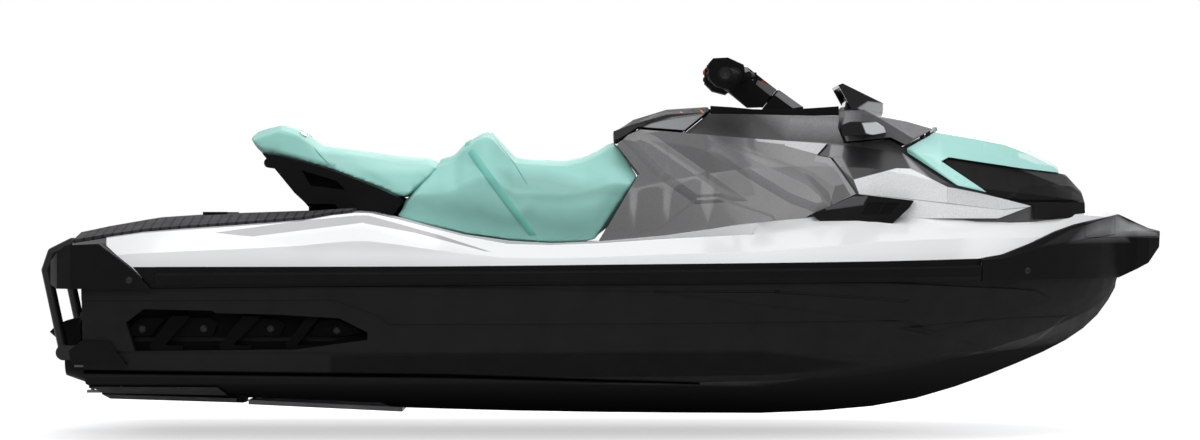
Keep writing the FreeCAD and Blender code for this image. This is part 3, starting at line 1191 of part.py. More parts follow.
def eye(centre, y, root):
    """Plate eye at (x, z), with its root running to x = root."""
    x, z = centre
    y_from, y_to = y - EYE_THICK / 2, y + EYE_THICK / 2
    shape = cross_rod(x, z, y_from, y_to, EYE_RADIUS)
    low, high = sorted((x, root))
    shape = shape.fuse(box((low, y_from, z - EYE_RADIUS / 2), (high, y_to, z + EYE_RADIUS / 2)))
    return shape.cut(cross_rod(x, z, y_from, y_to, EYE_BORE))


stern_eye = eye((TRANSOM_X - STERN_EYE_OUT, STERN_EYE_Z), STERN_EYE_Y, TRANSOM_X)
save_both("stern_eyes", stern_eye)


def make_tow_eye():
    """Flat eye behind the rear bumper, its bore upright."""
    x, z = stern_x - TOW_EYE_OUT, TOW_EYE_SHARE * HEIGHT
    low, high = z - EYE_THICK / 2, z + EYE_THICK / 2
    shape = rod((x, 0, low), (x, 0, high), EYE_RADIUS)
    shape = shape.fuse(box((x, -EYE_RADIUS, low), (stern_x, EYE_RADIUS, high)))
    return shape.cut(rod((x, 0, low), (x, 0, high), EYE_BORE))


save("tow_eye", make_tow_eye().cut(stern_bumper))

print(len(totals), "nodes")
for name, (count, litres) in totals.items():
    print(name, count, round(litres, 3))
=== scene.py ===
import bpy
import bmesh
import math
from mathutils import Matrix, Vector
from mathutils.bvhtree import BVHTree


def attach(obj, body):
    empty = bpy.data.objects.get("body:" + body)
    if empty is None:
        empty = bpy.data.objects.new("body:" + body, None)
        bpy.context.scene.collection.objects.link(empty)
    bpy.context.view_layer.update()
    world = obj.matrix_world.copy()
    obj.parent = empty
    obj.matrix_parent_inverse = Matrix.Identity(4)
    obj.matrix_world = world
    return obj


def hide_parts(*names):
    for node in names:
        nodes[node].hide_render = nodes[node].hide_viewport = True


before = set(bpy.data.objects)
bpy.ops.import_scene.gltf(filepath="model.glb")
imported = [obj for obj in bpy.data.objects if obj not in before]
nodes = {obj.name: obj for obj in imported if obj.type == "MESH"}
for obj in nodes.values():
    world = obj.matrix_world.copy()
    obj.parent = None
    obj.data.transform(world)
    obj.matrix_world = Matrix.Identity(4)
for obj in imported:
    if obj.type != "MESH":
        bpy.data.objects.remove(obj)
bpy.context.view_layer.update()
scene = bpy.context.scene

# Camera where the photograph was taken from, its image 1200 by 440

EYE = Vector((0.0, -11.0, 0.3582))
PIXEL = 0.003115
IMAGE_WIDTH = 1200
MIDDLE = (600.0, 220.0)
SENSOR = 36.0

camera_data = bpy.data.cameras.new("camera")
camera_data.sensor_width = SENSOR
camera_data.lens = SENSOR * -EYE.y / (PIXEL * IMAGE_WIDTH)
camera_data.clip_end = 200.0
camera = bpy.data.objects.new("camera", camera_data)
camera.location = EYE
camera.rotation_euler = (math.pi / 2, 0, 0)
scene.collection.objects.link(camera)
scene.camera = camera


def sight(px, py):
    """Direction from the eye through a place on the side view, 1200 by 440."""
    return Vector(((px - MIDDLE[0]) * PIXEL, -EYE.y, (MIDDLE[1] - py) * PIXEL))


class Shading:
    """Shader nodes of a world or a material, with a function for each kind used often."""

    def __init__(self, owner):
        owner.use_nodes = True
        owner.node_tree.nodes.clear()
        self.make = owner.node_tree.nodes
        self.link = owner.node_tree.links

    def join(self, value, socket):
        """Links an output to a socket, or sets a plain value on it."""
        if isinstance(value, bpy.types.NodeSocket):
            self.link.new(value, socket)
        else:
            socket.default_value = value

    def maths(self, operation, first, second=0.0):
        node = self.make.new("ShaderNodeMath")
        node.operation = operation
        self.join(first, node.inputs[0])
        self.join(second, node.inputs[1])
        return node.outputs[0]

    def dot(self, first, second):
        node = self.make.new("ShaderNodeVectorMath")
        node.operation = "DOT_PRODUCT"
        self.join(first, node.inputs[0])
        self.join(second, node.inputs[1])
        return node.outputs["Value"]

    def ranged(self, value, low, high, to_low=0.0, to_high=1.0):
        """Maps low to to_low and high to to_high, held beyond both."""
        node = self.make.new("ShaderNodeMapRange")
        self.join(value, node.inputs["Value"])
        node.inputs["From Min"].default_value = low
        node.inputs["From Max"].default_value = high
        node.inputs["To Min"].default_value = to_low
        node.inputs["To Max"].default_value = to_high
        return node.outputs["Result"]

    def noise(self, place, scale, detail):
        node = self.make.new("ShaderNodeTexNoise")
        node.inputs["Scale"].default_value = scale
        node.inputs["Detail"].default_value = detail
        self.link.new(place, node.inputs["Vector"])
        return node.outputs["Fac"]

    def ramp(self, factor, low, high):
        """Colour from low to high over the middle of a noise's range."""
        node = self.make.new("ShaderNodeValToRGB")
        for element, position, colour in zip(node.color_ramp.elements, RAMP_ENDS, (low, high)):
            element.position = position
            element.color = colour
        self.link.new(factor, node.inputs[0])
        return node.outputs[0]

    def mixed(self, factor, first, second):
        """Colour that is first where factor is 0 and second where it is 1."""
        node = self.make.new("ShaderNodeMix")
        node.data_type = "RGBA"
        self.join(factor, node.inputs["Factor"])
        self.join(first, node.inputs["A"])
        self.join(second, node.inputs["B"])
        return node.outputs["Result"]

    def raised(self, normal, height, distance, strength=1.0):
        """Normal over a height map, which is sunk where distance is negative."""
        node = self.make.new("ShaderNodeBump")
        node.invert = distance < 0
        node.inputs["Distance"].default_value = abs(distance)
        node.inputs["Strength"].default_value = strength
        self.link.new(height, node.inputs["Height"])
        self.link.new(normal, node.inputs["Normal"])
        return node.outputs[0]

    def either(self, factor, first, second):
        """Shader that is first where factor is 0 and second where it is 1."""
        node = self.make.new("ShaderNodeMixShader")
        for value, socket in zip((factor, first, second), node.inputs):
            self.link.new(value, socket)
        return node.outputs[0]

    def output(self, kind, shader):
        self.link.new(shader, self.make.new(kind).inputs["Surface"])


# Studio: white world and floor for the camera, soft lamps for the object

FLOOR_Z = -0.30
FLOOR_CORNERS = ((-60, -40), (60, -40), (60, 80), (-60, 80))
SKY = (0.94, 0.97, 1.0, 1)
SKY_STRENGTH = 0.50
PAPER = (0.86, 0.86, 0.86, 1)
PAPER_GLOW = 0.55
FADE_FROM, FADE_TO = 1.9, 4.5


def seen_ray(shading):
    """1 for rays that see the background: from the camera, in gloss and through glass."""
    path = shading.make.new("ShaderNodeLightPath")
    seen = path.outputs["Is Camera Ray"]
    for ray in ("Is Glossy Ray", "Is Transmission Ray"):
        seen = shading.maths("MAXIMUM", seen, path.outputs[ray])
    return seen


def white_world():
    """Plain white for rays that see the background, a pale sky for the light."""
    world = bpy.data.worlds.new("studio")
    scene.world = world
    shading = Shading(world)
    sky = shading.make.new("ShaderNodeBackground")
    sky.inputs["Color"].default_value = SKY
    sky.inputs["Strength"].default_value = SKY_STRENGTH
    backdrop = shading.make.new("ShaderNodeBackground")
    backdrop.inputs["Color"].default_value = (1, 1, 1, 1)
    backdrop.inputs["Strength"].default_value = 1.0
    shown = shading.either(seen_ray(shading), sky.outputs[0], backdrop.outputs[0])
    shading.output("ShaderNodeOutputWorld", shown)


def paper():
    """Matt floor paper that takes shadows near the craft and is plain white further out."""
    material = bpy.data.materials.new("paper")
    shading = Shading(material)
    seen = seen_ray(shading)
    matt = shading.make.new("ShaderNodeBsdfDiffuse")
    matt.inputs["Color"].default_value = PAPER
    glow = shading.make.new("ShaderNodeEmission")
    shading.link.new(shading.maths("MULTIPLY", seen, PAPER_GLOW), glow.inputs["Strength"])
    near = shading.make.new("ShaderNodeAddShader")
    shading.link.new(matt.outputs[0], near.inputs[0])
    shading.link.new(glow.outputs[0], near.inputs[1])
    white = shading.make.new("ShaderNodeEmission")
    shading.link.new(seen, white.inputs["Strength"])
    place = shading.make.new("ShaderNodeTexCoord")
    span = shading.make.new("ShaderNodeVectorMath")
    span.operation = "LENGTH"
    shading.link.new(place.outputs["Object"], span.inputs[0])
    away = shading.ranged(span.outputs["Value"], FADE_FROM, FADE_TO)
    shown = shading.either(away, near.outputs[0], white.outputs[0])
    shading.output("ShaderNodeOutputMaterial", shown)
    return material


def paper_floor():
    mesh = bpy.data.meshes.new("floor")
    mesh.from_pydata([(x, y, FLOOR_Z) for x, y in FLOOR_CORNERS], [], [(0, 1, 2, 3)])
    mesh.materials.append(paper())
    floor = bpy.data.objects.new("floor", mesh)
    scene.collection.objects.link(floor)


def lamp(name, place, target, size, power):
    data = bpy.data.lights.new(name, "AREA")
    data.shape = "RECTANGLE"
    data.size, data.size_y = size
    data.energy = power
    obj = bpy.data.objects.new(name, data)
    obj.location = place
    obj.rotation_euler = (Vector(target) - Vector(place)).to_track_quat("-Z", "Y").to_euler()
    obj.visible_camera = False
    scene.collection.objects.link(obj)


white_world()
paper_floor()
lamp("overhead", (0.0, -0.8, 5.0), (0, 0, 0.2), (6.0, 3.0), 140)
lamp("front", (-2.0, -6.5, 2.6), (0, 0, 0.2), (4.5, 2.0), 105)
lamp("bow", (5.5, -2.5, 2.6), (0.5, 0, 0.3), (2.5, 2.5), 45)
lamp("behind", (1.0, 5.5, 3.2), (0, 0, 0.3), (5.0, 2.0), 70)

scene.view_settings.view_transform = "Standard"

# Finishes

COAT_ROUGHNESS = 0.06
FLAKES = 700.0
NOISE_RANGE = (0.3, 0.7)
RAMP_ENDS = (0.32, 0.68)
GROOVE_WIDTH = (0.05, 0.20)
GROOVE_PAINTED_SHADE = 0.2
# Tint of the edges painted lighter, as rubbed edges and as a painted highlight.
WORN_AND_LIT_EDGE_TINT, WORN_AND_LIT_EDGE_LIFT = 1.6, 0.05
EDGE_TURN = (0.995, 0.86)
EDGE_SAMPLES = 4


def side_view(shading, place):
    """Place as seen from the eye, alike on both sides, and the distance from the centre plane."""
    parts = shading.make.new("ShaderNodeSeparateXYZ")
    shading.link.new(place, parts.inputs[0])
    away = shading.maths("ABSOLUTE", parts.outputs["Y"])
    joined = shading.make.new("ShaderNodeCombineXYZ")
    shading.link.new(parts.outputs["X"], joined.inputs["X"])
    shading.link.new(shading.maths("SUBTRACT", -EYE.y, away), joined.inputs["Y"])
    shading.link.new(shading.maths("SUBTRACT", parts.outputs["Z"], EYE.z), joined.inputs["Z"])
    return joined.outputs[0], away


def region(shading, view, points, soft):
    """1 inside a convex outline drawn on the side view, alike on both sides of the craft."""
    middle = sight(sum(x for x, _ in points) / len(points), sum(y for _, y in points) / len(points))
    least = None
    for a, b in zip(points, points[1:] + points[:1]):
        normal = sight(*a).cross(sight(*b)).normalized()
        if normal.dot(middle) < 0:
            normal = -normal
        inward = shading.dot(view, normal)
        least = inward if least is None else shading.maths("MINIMUM", least, inward)
    return shading.ranged(least, -soft, soft)


def flecked(shading, place, paint, fleck):
    """Metallic flakes, each a little lighter or darker than the paint."""
    flakes = shading.make.new("ShaderNodeTexVoronoi")
    flakes.inputs["Scale"].default_value = FLAKES
    shading.link.new(place, flakes.inputs["Vector"])
    parts = shading.make.new("ShaderNodeSeparateColor")
    shading.link.new(flakes.outputs["Color"], parts.inputs[0])
    speckle = shading.make.new("ShaderNodeVectorMath")
    speckle.operation = "SCALE"
    shading.link.new(paint, speckle.inputs[0])
    shading.link.new(shading.ranged(parts.outputs[0], 0, 1, 1 - fleck, 1 + fleck), speckle.inputs["Scale"])
    return speckle.outputs[0]


def finish(name, colour, rough=(0.35, 0.45), metal=0.0, spec=0.5, coat=0.0, grain=(900.0, 0.08, 0.0004),
           mottle=(7.0, 0.10), rounding=0.002, edge_wear_and_highlight=0.0, fleck=0.0, sheen=0.0,
           areas=(), ridges=(), dull=(), grooves=None):
    """Procedural finish: uneven colour and gloss, fine grain, rounded edges that catch light,
    and edges painted lighter, as rubbed edges and as a painted highlight.

    On the side view, areas are (outline, colour, softness), with a least distance from the centre
    plane where one is wanted; they give painted graphics and also painted light and shade. ridges are
    (outline, height, softness), and dull outlines, as (outline, softness), lose their gloss. grooves are
    (scale, depth) of bands across the craft, also painted darker as painted shade in them.
    """
    material = bpy.data.materials.new(name)
    shading = Shading(material)
    shader = shading.make.new("ShaderNodeBsdfPrincipled")
    for socket, value in (("Metallic", metal), ("Specular IOR Level", spec), ("Coat Weight", coat),
                          ("Coat Roughness", COAT_ROUGHNESS), ("Sheen Weight", sheen)):
        shader.inputs[socket].default_value = value
    shading.output("ShaderNodeOutputMaterial", shader.outputs[0])
    place = shading.make.new("ShaderNodeTexCoord").outputs["Object"]
    if areas or ridges or dull:
        view, away = side_view(shading, place)

    def shade(k, lift=0.0):
        return (*[min(1.0, c * k + lift) for c in colour], 1)

    cloudy = shading.noise(place, mottle[0], 4.0)
    paint = shading.ramp(cloudy, shade(1 - mottle[1]), shade(1 + mottle[1]))
    for outline, tone, soft, *beyond in areas:
        inside = region(shading, view, outline, soft)
        for least in beyond:
            inside = shading.maths("MULTIPLY", shading.maths("GREATER_THAN", away, least), inside)
        paint = shading.mixed(inside, paint, (*tone, 1))
    # Grooves are sunk as bumps and painted darker, as painted shade in them.
    if grooves:
        wave = shading.make.new("ShaderNodeTexWave")
        wave.inputs["Scale"].default_value = grooves[0]
        shading.link.new(place, wave.inputs["Vector"])
        groove = shading.ranged(wave.outputs["Fac"], *GROOVE_WIDTH, 1.0, 0.0)
        paint = shading.mixed(groove, paint, shade(GROOVE_PAINTED_SHADE))
    if fleck:
        paint = flecked(shading, place, paint, fleck)
    edge = shading.make.new("ShaderNodeBevel")
    edge.samples = EDGE_SAMPLES
    edge.inputs["Radius"].default_value = rounding
    # Edges painted lighter along the rounded edges: rubbed edges, and a painted highlight.
    if edge_wear_and_highlight:
        plain = shading.make.new("ShaderNodeNewGeometry")
        turn = shading.dot(edge.outputs[0], plain.outputs["Normal"])
        worn_and_lit_edges = shading.ranged(turn, *EDGE_TURN, 0.0, edge_wear_and_highlight)
        paint = shading.mixed(worn_and_lit_edges, paint, shade(WORN_AND_LIT_EDGE_TINT, WORN_AND_LIT_EDGE_LIFT))
    shading.link.new(paint, shader.inputs["Base Color"])
    uneven = shading.ranged(shading.noise(place, mottle[0] * 3, 5.0), *NOISE_RANGE, *rough)
    shading.link.new(uneven, shader.inputs["Roughness"])
    if dull:
        gloss = (spec, spec, spec, 1)
        for outline, soft in dull:
            gloss = shading.mixed(region(shading, view, outline, soft), gloss, (0.0, 0.0, 0.0, 1))
        shading.link.new(gloss, shader.inputs["Specular IOR Level"])
    facing = edge.outputs[0]
    for outline, height, soft in ridges:
        facing = shading.raised(facing, region(shading, view, outline, soft), height)
    if grooves:
        facing = shading.raised(facing, groove, -grooves[1])
    facing = shading.raised(facing, shading.noise(place, grain[0], 2.0), grain[2], grain[1])
    shading.link.new(facing, shader.inputs["Normal"])
    return material


# Paint lines, moulded shapes, and painted light and shade, as outlines on the side view

LINE = 0.0006
GELCOAT = (0.80, 0.805, 0.81)
STRIPE_GREY = (0.34, 0.34, 0.345)
# Band of the hull under the rub rail, painted darker as painted shade.
HULL_TOP_PAINTED_SHADE = [(60, 262), (1010, 262), (1010, 277), (60, 286)]
# Lower hull, painted a lighter flat tone without gloss: painted light for how the bottom is lit.
LOWER_HULL_PAINTED_LIGHT = [
    [(40, 372), (1120, 389.6), (1120, 440), (40, 440)], [(40, 405.6), (1120, 373.2), (1120, 440), (40, 440)],
    [(780, 439.7), (1120, 323.1), (1120, 440)]]
# Zone over the chine, painted darker as the chine's painted shadow.
CHINE_PAINTED_SHADOW = [(330, 355), (760, 351), (930, 372), (900, 400), (330, 400)]
# Lines under the outer chine, painted near black and without gloss, as painted shadow.
CREASE_PAINTED_SHADOW = [
    [(80, 369.5), (450, 374), (450, 378.5), (80, 374)], [(450, 374), (700, 382), (700, 385), (450, 378.5)]]
# Lower bow, painted lighter and without gloss, as painted light.
BOW_PAINTED_LIGHT = [(760, 381), (860, 365), (1100, 333), (1100, 440), (760, 440)]
HULL_BLADE = [(900, 328), (960, 341), (1010, 352), (1040, 338), (1066, 316), (1010, 318)]
HULL_LINE = [
    [(655, 290.5), (780, 290.8), (780, 292.6), (655, 292)],
    [(775, 290.8), (910, 300), (905, 301.8), (775, 292.6)]]
HULL_FLANK = [(60, 283), (400, 286), (655, 292), (900, 322), (985, 352), (900, 356), (60, 352)]
LID_DARK = [(684, 112), (712, 112), (745, 124), (745, 140), (684, 132)]
LID_GLEAM = [(770, 112), (850, 112), (850, 136), (790, 128)]
LID_TOP = [(706, 106), (862, 98), (862, 110), (800, 112.5), (720, 112)]
SHIELD_FOOT = [(858, 108), (868, 101.5), (890, 104), (890, 119), (868, 116)]
STRIPES = [
    [(214.6, 232.7), (299, 221), (357, 215.4), (364.6, 222.5), (345, 225), (253, 236.5), (239.6, 235.4)],
    [(357, 215.4), (368.5, 215.4), (414.6, 228.2), (414.6, 232.7), (364.6, 223.4)],
    [(414.6, 228.2), (437.7, 234.6), (491.5, 252), (484, 251), (414.6, 232.7)]]
# Grey zone on the white deck below the stripes: painted shade.
DECK_PAINTED_SHADE = [(253, 238), (345, 226.5), (366, 225.5), (462, 252), (300, 250)]
STERN_BLACK = [(30, 200), (106.5, 200), (106.5, 262), (30, 262)]
INTAKE_LIGHT = [(822, 197), (868, 196), (863, 205), (826, 210)]
# Holes in the intakes, sunk and painted near black as painted shade in them.
INTAKE_HOLES_PAINTED_SHADE = [
    [(868.5, 203), (884, 203), (877, 214.5), (862, 214.5)],
    [(886.5, 203), (900, 203), (890, 214.5), (879.5, 214.5)]]
# Top faces of the bow bumper, raised and painted lighter as painted light; BUMPER_GLOW and BUMPER_GLEAM are
# painted highlights on them.
BUMPER_LIT_TOP = [
    [(1040, 247), (1070, 230), (1115, 214.5), (1115, 234.3)],
    [(1085, 237.7), (1085, 224.8), (1115, 214.5), (1158, 233), (1158, 236.5)]]
BUMPER_GLOW = [(1082, 237), (1096, 222), (1116, 216), (1122, 236.5)]
BUMPER_GLEAM = [(1112, 234.5), (1116, 216), (1157, 232.5), (1157, 235)]
# Side facet of the black glove lid, painted light grey as a painted highlight.
GLOVE_LIT_SIDE = [(636, 131), (650, 124), (672, 117.5), (706, 113), (683, 132)]
GLOVE_TOP = [
    [(612, 142), (630, 126), (655, 115), (652, 122), (634, 131)],
    [(645, 119.5), (655, 115), (700, 107), (708, 113), (646, 123)]]
MARKS = [
    [(679, 109), (681.6, 109), (682.6, 112.6), (680, 112.6)],
    [(698.6, 107.6), (700.8, 107.6), (704, 113), (701.8, 113)]]
# Lighter faces of the neck: its light grey cover, with a painted highlight in three tones for three faces.
NECK_COVER_AND_HIGHLIGHT = [
    [(744, 64), (755.6, 76.7), (753, 81), (742, 69)],
    [(757.8, 80), (776.7, 88.9), (771, 96.7), (755.6, 84.4)],
    [(777.8, 90), (804, 106.7), (793, 108.5), (773, 94)]]
NECK_MARK = [(762, 79.2), (775.6, 86), (774.6, 87.8), (761, 81)]
PANEL_DARK = [
    [(652, 141), (690, 146), (720.6, 154), (748, 173), (755.8, 195), (745, 196.5), (724, 189), (698, 171.8)],
    [(740, 149.5), (780, 160), (814, 173), (800, 171)],
    [(800, 167.6), (814, 173), (834, 187), (829, 204), (811, 181.8)]]
PANEL_LIGHT = [
    [(628, 140), (640, 134.5), (653, 140), (735, 197), (696.7, 199.5), (660, 174)],
    [(708, 137), (718, 139), (745, 151), (810, 181), (825, 195), (828, 206), (816, 208), (790, 198),
     (748, 173), (710, 148)]]
PANEL_LOW = [[(645, 240), (697, 199), (718, 198), (772, 216), (790, 240)]]
# Opening in the side panel, painted near black as painted shade.
PANEL_HOLE_PAINTED_SHADE = [(835, 186), (843.5, 184), (851, 195), (843, 200), (830, 206), (832, 196)]
# Bright strips along the side panel's top edge: painted highlight.
PANEL_TOP_PAINTED_HIGHLIGHT = [
    [(755, 138.6), (829, 144), (822, 148.5), (757, 141.4)],
    [(785, 140.8), (829, 144), (818, 154.5), (785, 145.6)]]
FENDER = [
    [(816, 155), (828, 156.5), (828, 163.5), (814, 161)],
    [(826, 155.8), (828, 156.5), (840, 165), (838, 173), (826, 162.8)],
    [(838, 163.6), (840, 165), (856, 195), (851, 195.5), (838, 173)]]
WING_LIGHT = [
    [(853.6, 179.6), (896.4, 168.2), (911, 168.7), (947.3, 186.9), (947.3, 203), (859, 193.5)],
    [(947.3, 186.9), (976.4, 192.4), (1036, 206.5), (1000, 209.6), (947.3, 203)]]
WING_SILVER = [
    [(831, 144.5), (844, 145.5), (842, 157), (829, 157)],
    [(829, 157), (842, 157), (853, 179), (846, 173)]]
WING_FOOT = [
    [(859, 193.5), (1045, 214.8), (1045, 222), (859, 222)],
    [(990, 210.9), (1045, 206.2), (1045, 222), (990, 222)]]
WING_PEAK = [(911, 168.7), (902, 152), (938, 186)]
TRIM_LIGHT = [(870, 101), (892, 101), (937, 124.5), (930, 125.5), (886, 118)]
TRIM_GREY = [(856, 102), (868, 101.5), (886, 118), (869, 116)]
# Light patch on the mirror: its silver cap, with a painted highlight.
MIRROR_CAP_AND_HIGHLIGHT = [(862, 123), (886, 121.5), (891.5, 135), (880, 137.5), (866, 133)]
HOOD_SHADE = [(904, 147.5), (912, 151), (972, 196.5), (955, 194), (904, 157)]
HOOD_GLEAM = [(1018, 153), (1036, 154.5), (1052, 166), (1036, 164), (1019, 157)]
# Upper side of the rider seat, painted darker as painted shade.
SEAT_SIDE_PAINTED_SHADE = [(500, 160), (545, 173), (600, 173), (634, 178), (628, 192), (560, 200), (508, 192)]
# Top of the rear seat, painted lighter as painted light.
REAR_TOP_PAINTED_LIGHT = [(312, 148), (438, 158), (432, 172), (350, 172), (322, 160)]
REAR_SHADE = [(256, 146), (268, 148), (335, 165), (335, 172), (262, 156)]
# Lighter line along the top of the black nose: a painted highlight.
NOSE_PAINTED_HIGHLIGHT = [(1020, 169.5), (1062, 174), (1086, 195), (1050, 181.2)]
NOSE_LOW = [(1010, 198), (1022, 188), (1034, 184.5), (1072, 186), (1086, 195), (1078, 201), (1020, 201)]


def each(outlines, *how):
    """The same treatment for each of several outlines."""
    return [(outline, *how) for outline in outlines]


# Black hull: painted shade under the rail, over the chine and in its creases, painted light on the lower
# hull and bow.
BLACK_HULL = finish(
    "black_hull", (0.0104, 0.0104, 0.0108), (0.58, 0.70), spec=0.07, grain=(420, 0.10, 0.0004), edge_wear_and_highlight=0.10,
    areas=[(HULL_TOP_PAINTED_SHADE, (0.0050, 0.0050, 0.0053), 0.002), (CHINE_PAINTED_SHADOW, (0.0036, 0.0036, 0.0038), 0.006),
           (BOW_PAINTED_LIGHT, (0.019, 0.019, 0.0195), 0.016)]
    + each(LOWER_HULL_PAINTED_LIGHT, (0.018, 0.018, 0.0185), 0.010) + each(CREASE_PAINTED_SHADOW, (0.0006, 0.0006, 0.0006), 0.003),
    ridges=[(HULL_BLADE, 0.006, 0.003), (HULL_FLANK, 0.004, 0.004)] + each(HULL_LINE, -0.004, 0.0012),
    dull=each(LOWER_HULL_PAINTED_LIGHT, 0.010) + each(CREASE_PAINTED_SHADOW, 0.003) + [(BOW_PAINTED_LIGHT, 0.016)])
BLACK_TRIM = finish(
    "black_trim", (0.0048, 0.0048, 0.0051), (0.50, 0.62), spec=0.05, grain=(1100, 0.35, 0.0005), edge_wear_and_highlight=0.25)
BLACK_GLOSS = finish(
    "black_gloss", (0.005, 0.005, 0.0055), (0.24, 0.34), spec=0.14, coat=0.03, grain=(300, 0.05, 0.0003),
    areas=[(MIRROR_CAP_AND_HIGHLIGHT, (0.62, 0.62, 0.625), 0.002)])
LENS = finish(
    "smoked_lens", (0.005, 0.005, 0.006), (0.12, 0.18), spec=0.2, coat=0.05, grain=(300, 0.04, 0.0003),
    areas=[(SHIELD_FOOT, (0.42, 0.42, 0.425), 0.003)])
CHARCOAL = finish(
    "charcoal", (0.060, 0.060, 0.061), (0.40, 0.50), metal=0.1, spec=0.3, grain=(1300, 0.5, 0.0005),
    fleck=0.25, edge_wear_and_highlight=0.1,
    areas=[(LID_DARK, (0.022, 0.022, 0.0225), 0.024), (LID_GLEAM, (0.25, 0.25, 0.252), 0.040),
           (LID_TOP, (0.006, 0.006, 0.0063), 0.001)],
    ridges=[(LID_TOP, 0.003, 0.001)])
INTAKE = finish(
    "intake_black", (0.005, 0.005, 0.0053), (0.44, 0.54), spec=0.06, grain=(900, 0.2, 0.0004), edge_wear_and_highlight=0.15,
    areas=[(INTAKE_LIGHT, (0.085, 0.085, 0.087), 0.002)] + each(INTAKE_HOLES_PAINTED_SHADE, (0.001, 0.001, 0.001), LINE),
    ridges=each(INTAKE_HOLES_PAINTED_SHADE, -0.010, 0.0008))
# Bumper: painted light on its top faces, and painted highlights.
BUMPER = finish(
    "bumper_black", (0.0048, 0.0048, 0.0051), (0.46, 0.58), spec=0.05, grain=(1100, 0.35, 0.0005), edge_wear_and_highlight=0.25,
    areas=each(BUMPER_LIT_TOP, (0.020, 0.020, 0.0205), 0.003)
    + [(BUMPER_GLOW, (0.19, 0.19, 0.192), 0.022), (BUMPER_GLEAM, (0.30, 0.30, 0.302), 0.010)],
    ridges=each(BUMPER_LIT_TOP, 0.006, 0.0012))
GLOVE = finish(
    "glove_lid_black", (0.008, 0.008, 0.0084), (0.50, 0.62), spec=0.15, grain=(700, 0.9, 0.0009), edge_wear_and_highlight=0.2,
    areas=[(GLOVE_LIT_SIDE, (0.27, 0.27, 0.272), 0.003)] + each(MARKS, (0.78, 0.12, 0.035), LINE, 0.125),
    ridges=each(GLOVE_TOP, 0.004, 0.0015))
NECK = finish(
    "neck_black", (0.0045, 0.0045, 0.0048), (0.42, 0.54), spec=0.06, grain=(900, 0.25, 0.0004), edge_wear_and_highlight=0.2,
    areas=[(NECK_COVER_AND_HIGHLIGHT[0], (0.34, 0.34, 0.345), 0.001), (NECK_COVER_AND_HIGHLIGHT[1], (0.16, 0.16, 0.162), 0.001),
           (NECK_COVER_AND_HIGHLIGHT[2], (0.30, 0.30, 0.305), 0.001), (NECK_MARK, (0.30, 0.045, 0.025), LINE, 0.012)],
    ridges=each(NECK_COVER_AND_HIGHLIGHT, 0.004, 0.001))
NOSE_BLACK = finish(
    "nose_black", (0.0055, 0.0055, 0.0058), (0.40, 0.50), spec=0.06, grain=(300, 0.05, 0.0003),
    areas=[(NOSE_PAINTED_HIGHLIGHT, (0.055, 0.055, 0.056), 0.002), (NOSE_LOW, (0.003, 0.003, 0.003), 0.002)],
    ridges=[(NOSE_LOW, 0.006, 0.004)])
WHITE = finish(
    "white_gelcoat", GELCOAT, (0.16, 0.24), coat=0.5, grain=(60, 0.06, 0.0006), mottle=(3.0, 0.012),
    areas=[(DECK_PAINTED_SHADE, (0.70, 0.705, 0.71), 0.012), (STERN_BLACK, (0.006, 0.006, 0.0063), LINE)]
    + each(STRIPES, STRIPE_GREY, LINE))
TEAL = finish(
    "teal_gloss", (0.385, 0.715, 0.655), (0.22, 0.30), coat=0.4, grain=(60, 0.06, 0.0006),
    mottle=(3.0, 0.03),
    areas=[(HOOD_SHADE, (0.075, 0.270, 0.230), 0.004), (HOOD_GLEAM, (0.62, 0.86, 0.82), 0.003)])
# Side panel: painted highlight along its top edge, and painted shade in its opening.
GREY = finish(
    "grey_metallic", (0.105, 0.105, 0.1066), (0.30, 0.40), metal=0.15, coat=0.3, grain=(500, 0.06, 0.0003),
    mottle=(3.0, 0.05), fleck=0.18,
    areas=each(PANEL_LIGHT, (0.125, 0.125, 0.127), 0.008) + each(PANEL_DARK, (0.074, 0.074, 0.076), 0.003)
    + each(PANEL_TOP_PAINTED_HIGHLIGHT, (0.36, 0.36, 0.365), 0.001) + [(PANEL_HOLE_PAINTED_SHADE, (0.004, 0.004, 0.004), 0.0008)]
    + each(FENDER, (0.16, 0.16, 0.162), 0.001),
    ridges=each(PANEL_LIGHT, 0.009, 0.014) + each(PANEL_LOW, 0.003, 0.004))
WING = finish(
    "wing_metallic", (0.028, 0.028, 0.029), (0.34, 0.44), spec=0.3, coat=0.1, grain=(500, 0.06, 0.0003),
    mottle=(3.0, 0.05), fleck=0.15,
    areas=each(WING_FOOT, GELCOAT, 0.001)
    + [(WING_PEAK, (0.30, 0.30, 0.303), 0.004), (WING_LIGHT[0], GELCOAT, 0.001),
       (WING_LIGHT[1], (0.70, 0.705, 0.71), 0.001)]
    + each(WING_SILVER, (0.22, 0.22, 0.223), 0.003))
SILVER = finish(
    "silver_metallic", (0.16, 0.16, 0.163), (0.24, 0.34), metal=0.35, coat=0.5, grain=(500, 0.06, 0.0003),
    mottle=(3.0, 0.05), fleck=0.15,
    areas=[(TRIM_LIGHT, (0.38, 0.38, 0.385), 0.002), (TRIM_GREY, (0.34, 0.34, 0.345), 0.002)])
RUBBER = finish(
    "rubber", (0.007, 0.007, 0.0074), (0.62, 0.78), spec=0.08, grain=(700, 0.6, 0.0008), edge_wear_and_highlight=0.15)
MAT = finish(
    "mat_foam", (0.030, 0.030, 0.032), (0.70, 0.82), spec=0.2, grain=(600, 0.6, 0.0008), edge_wear_and_highlight=0.2,
    grooves=(11.0, 0.003))
MATT = finish(
    "matt_black", (0.0034, 0.0034, 0.0036), (0.60, 0.72), spec=0.02, grain=(900, 0.3, 0.0005), edge_wear_and_highlight=0.2)
ALUMINIUM = finish(
    "cast_aluminium", (0.10, 0.102, 0.106), (0.42, 0.58), metal=1.0, grain=(350, 0.25, 0.0005), edge_wear_and_highlight=0.4)
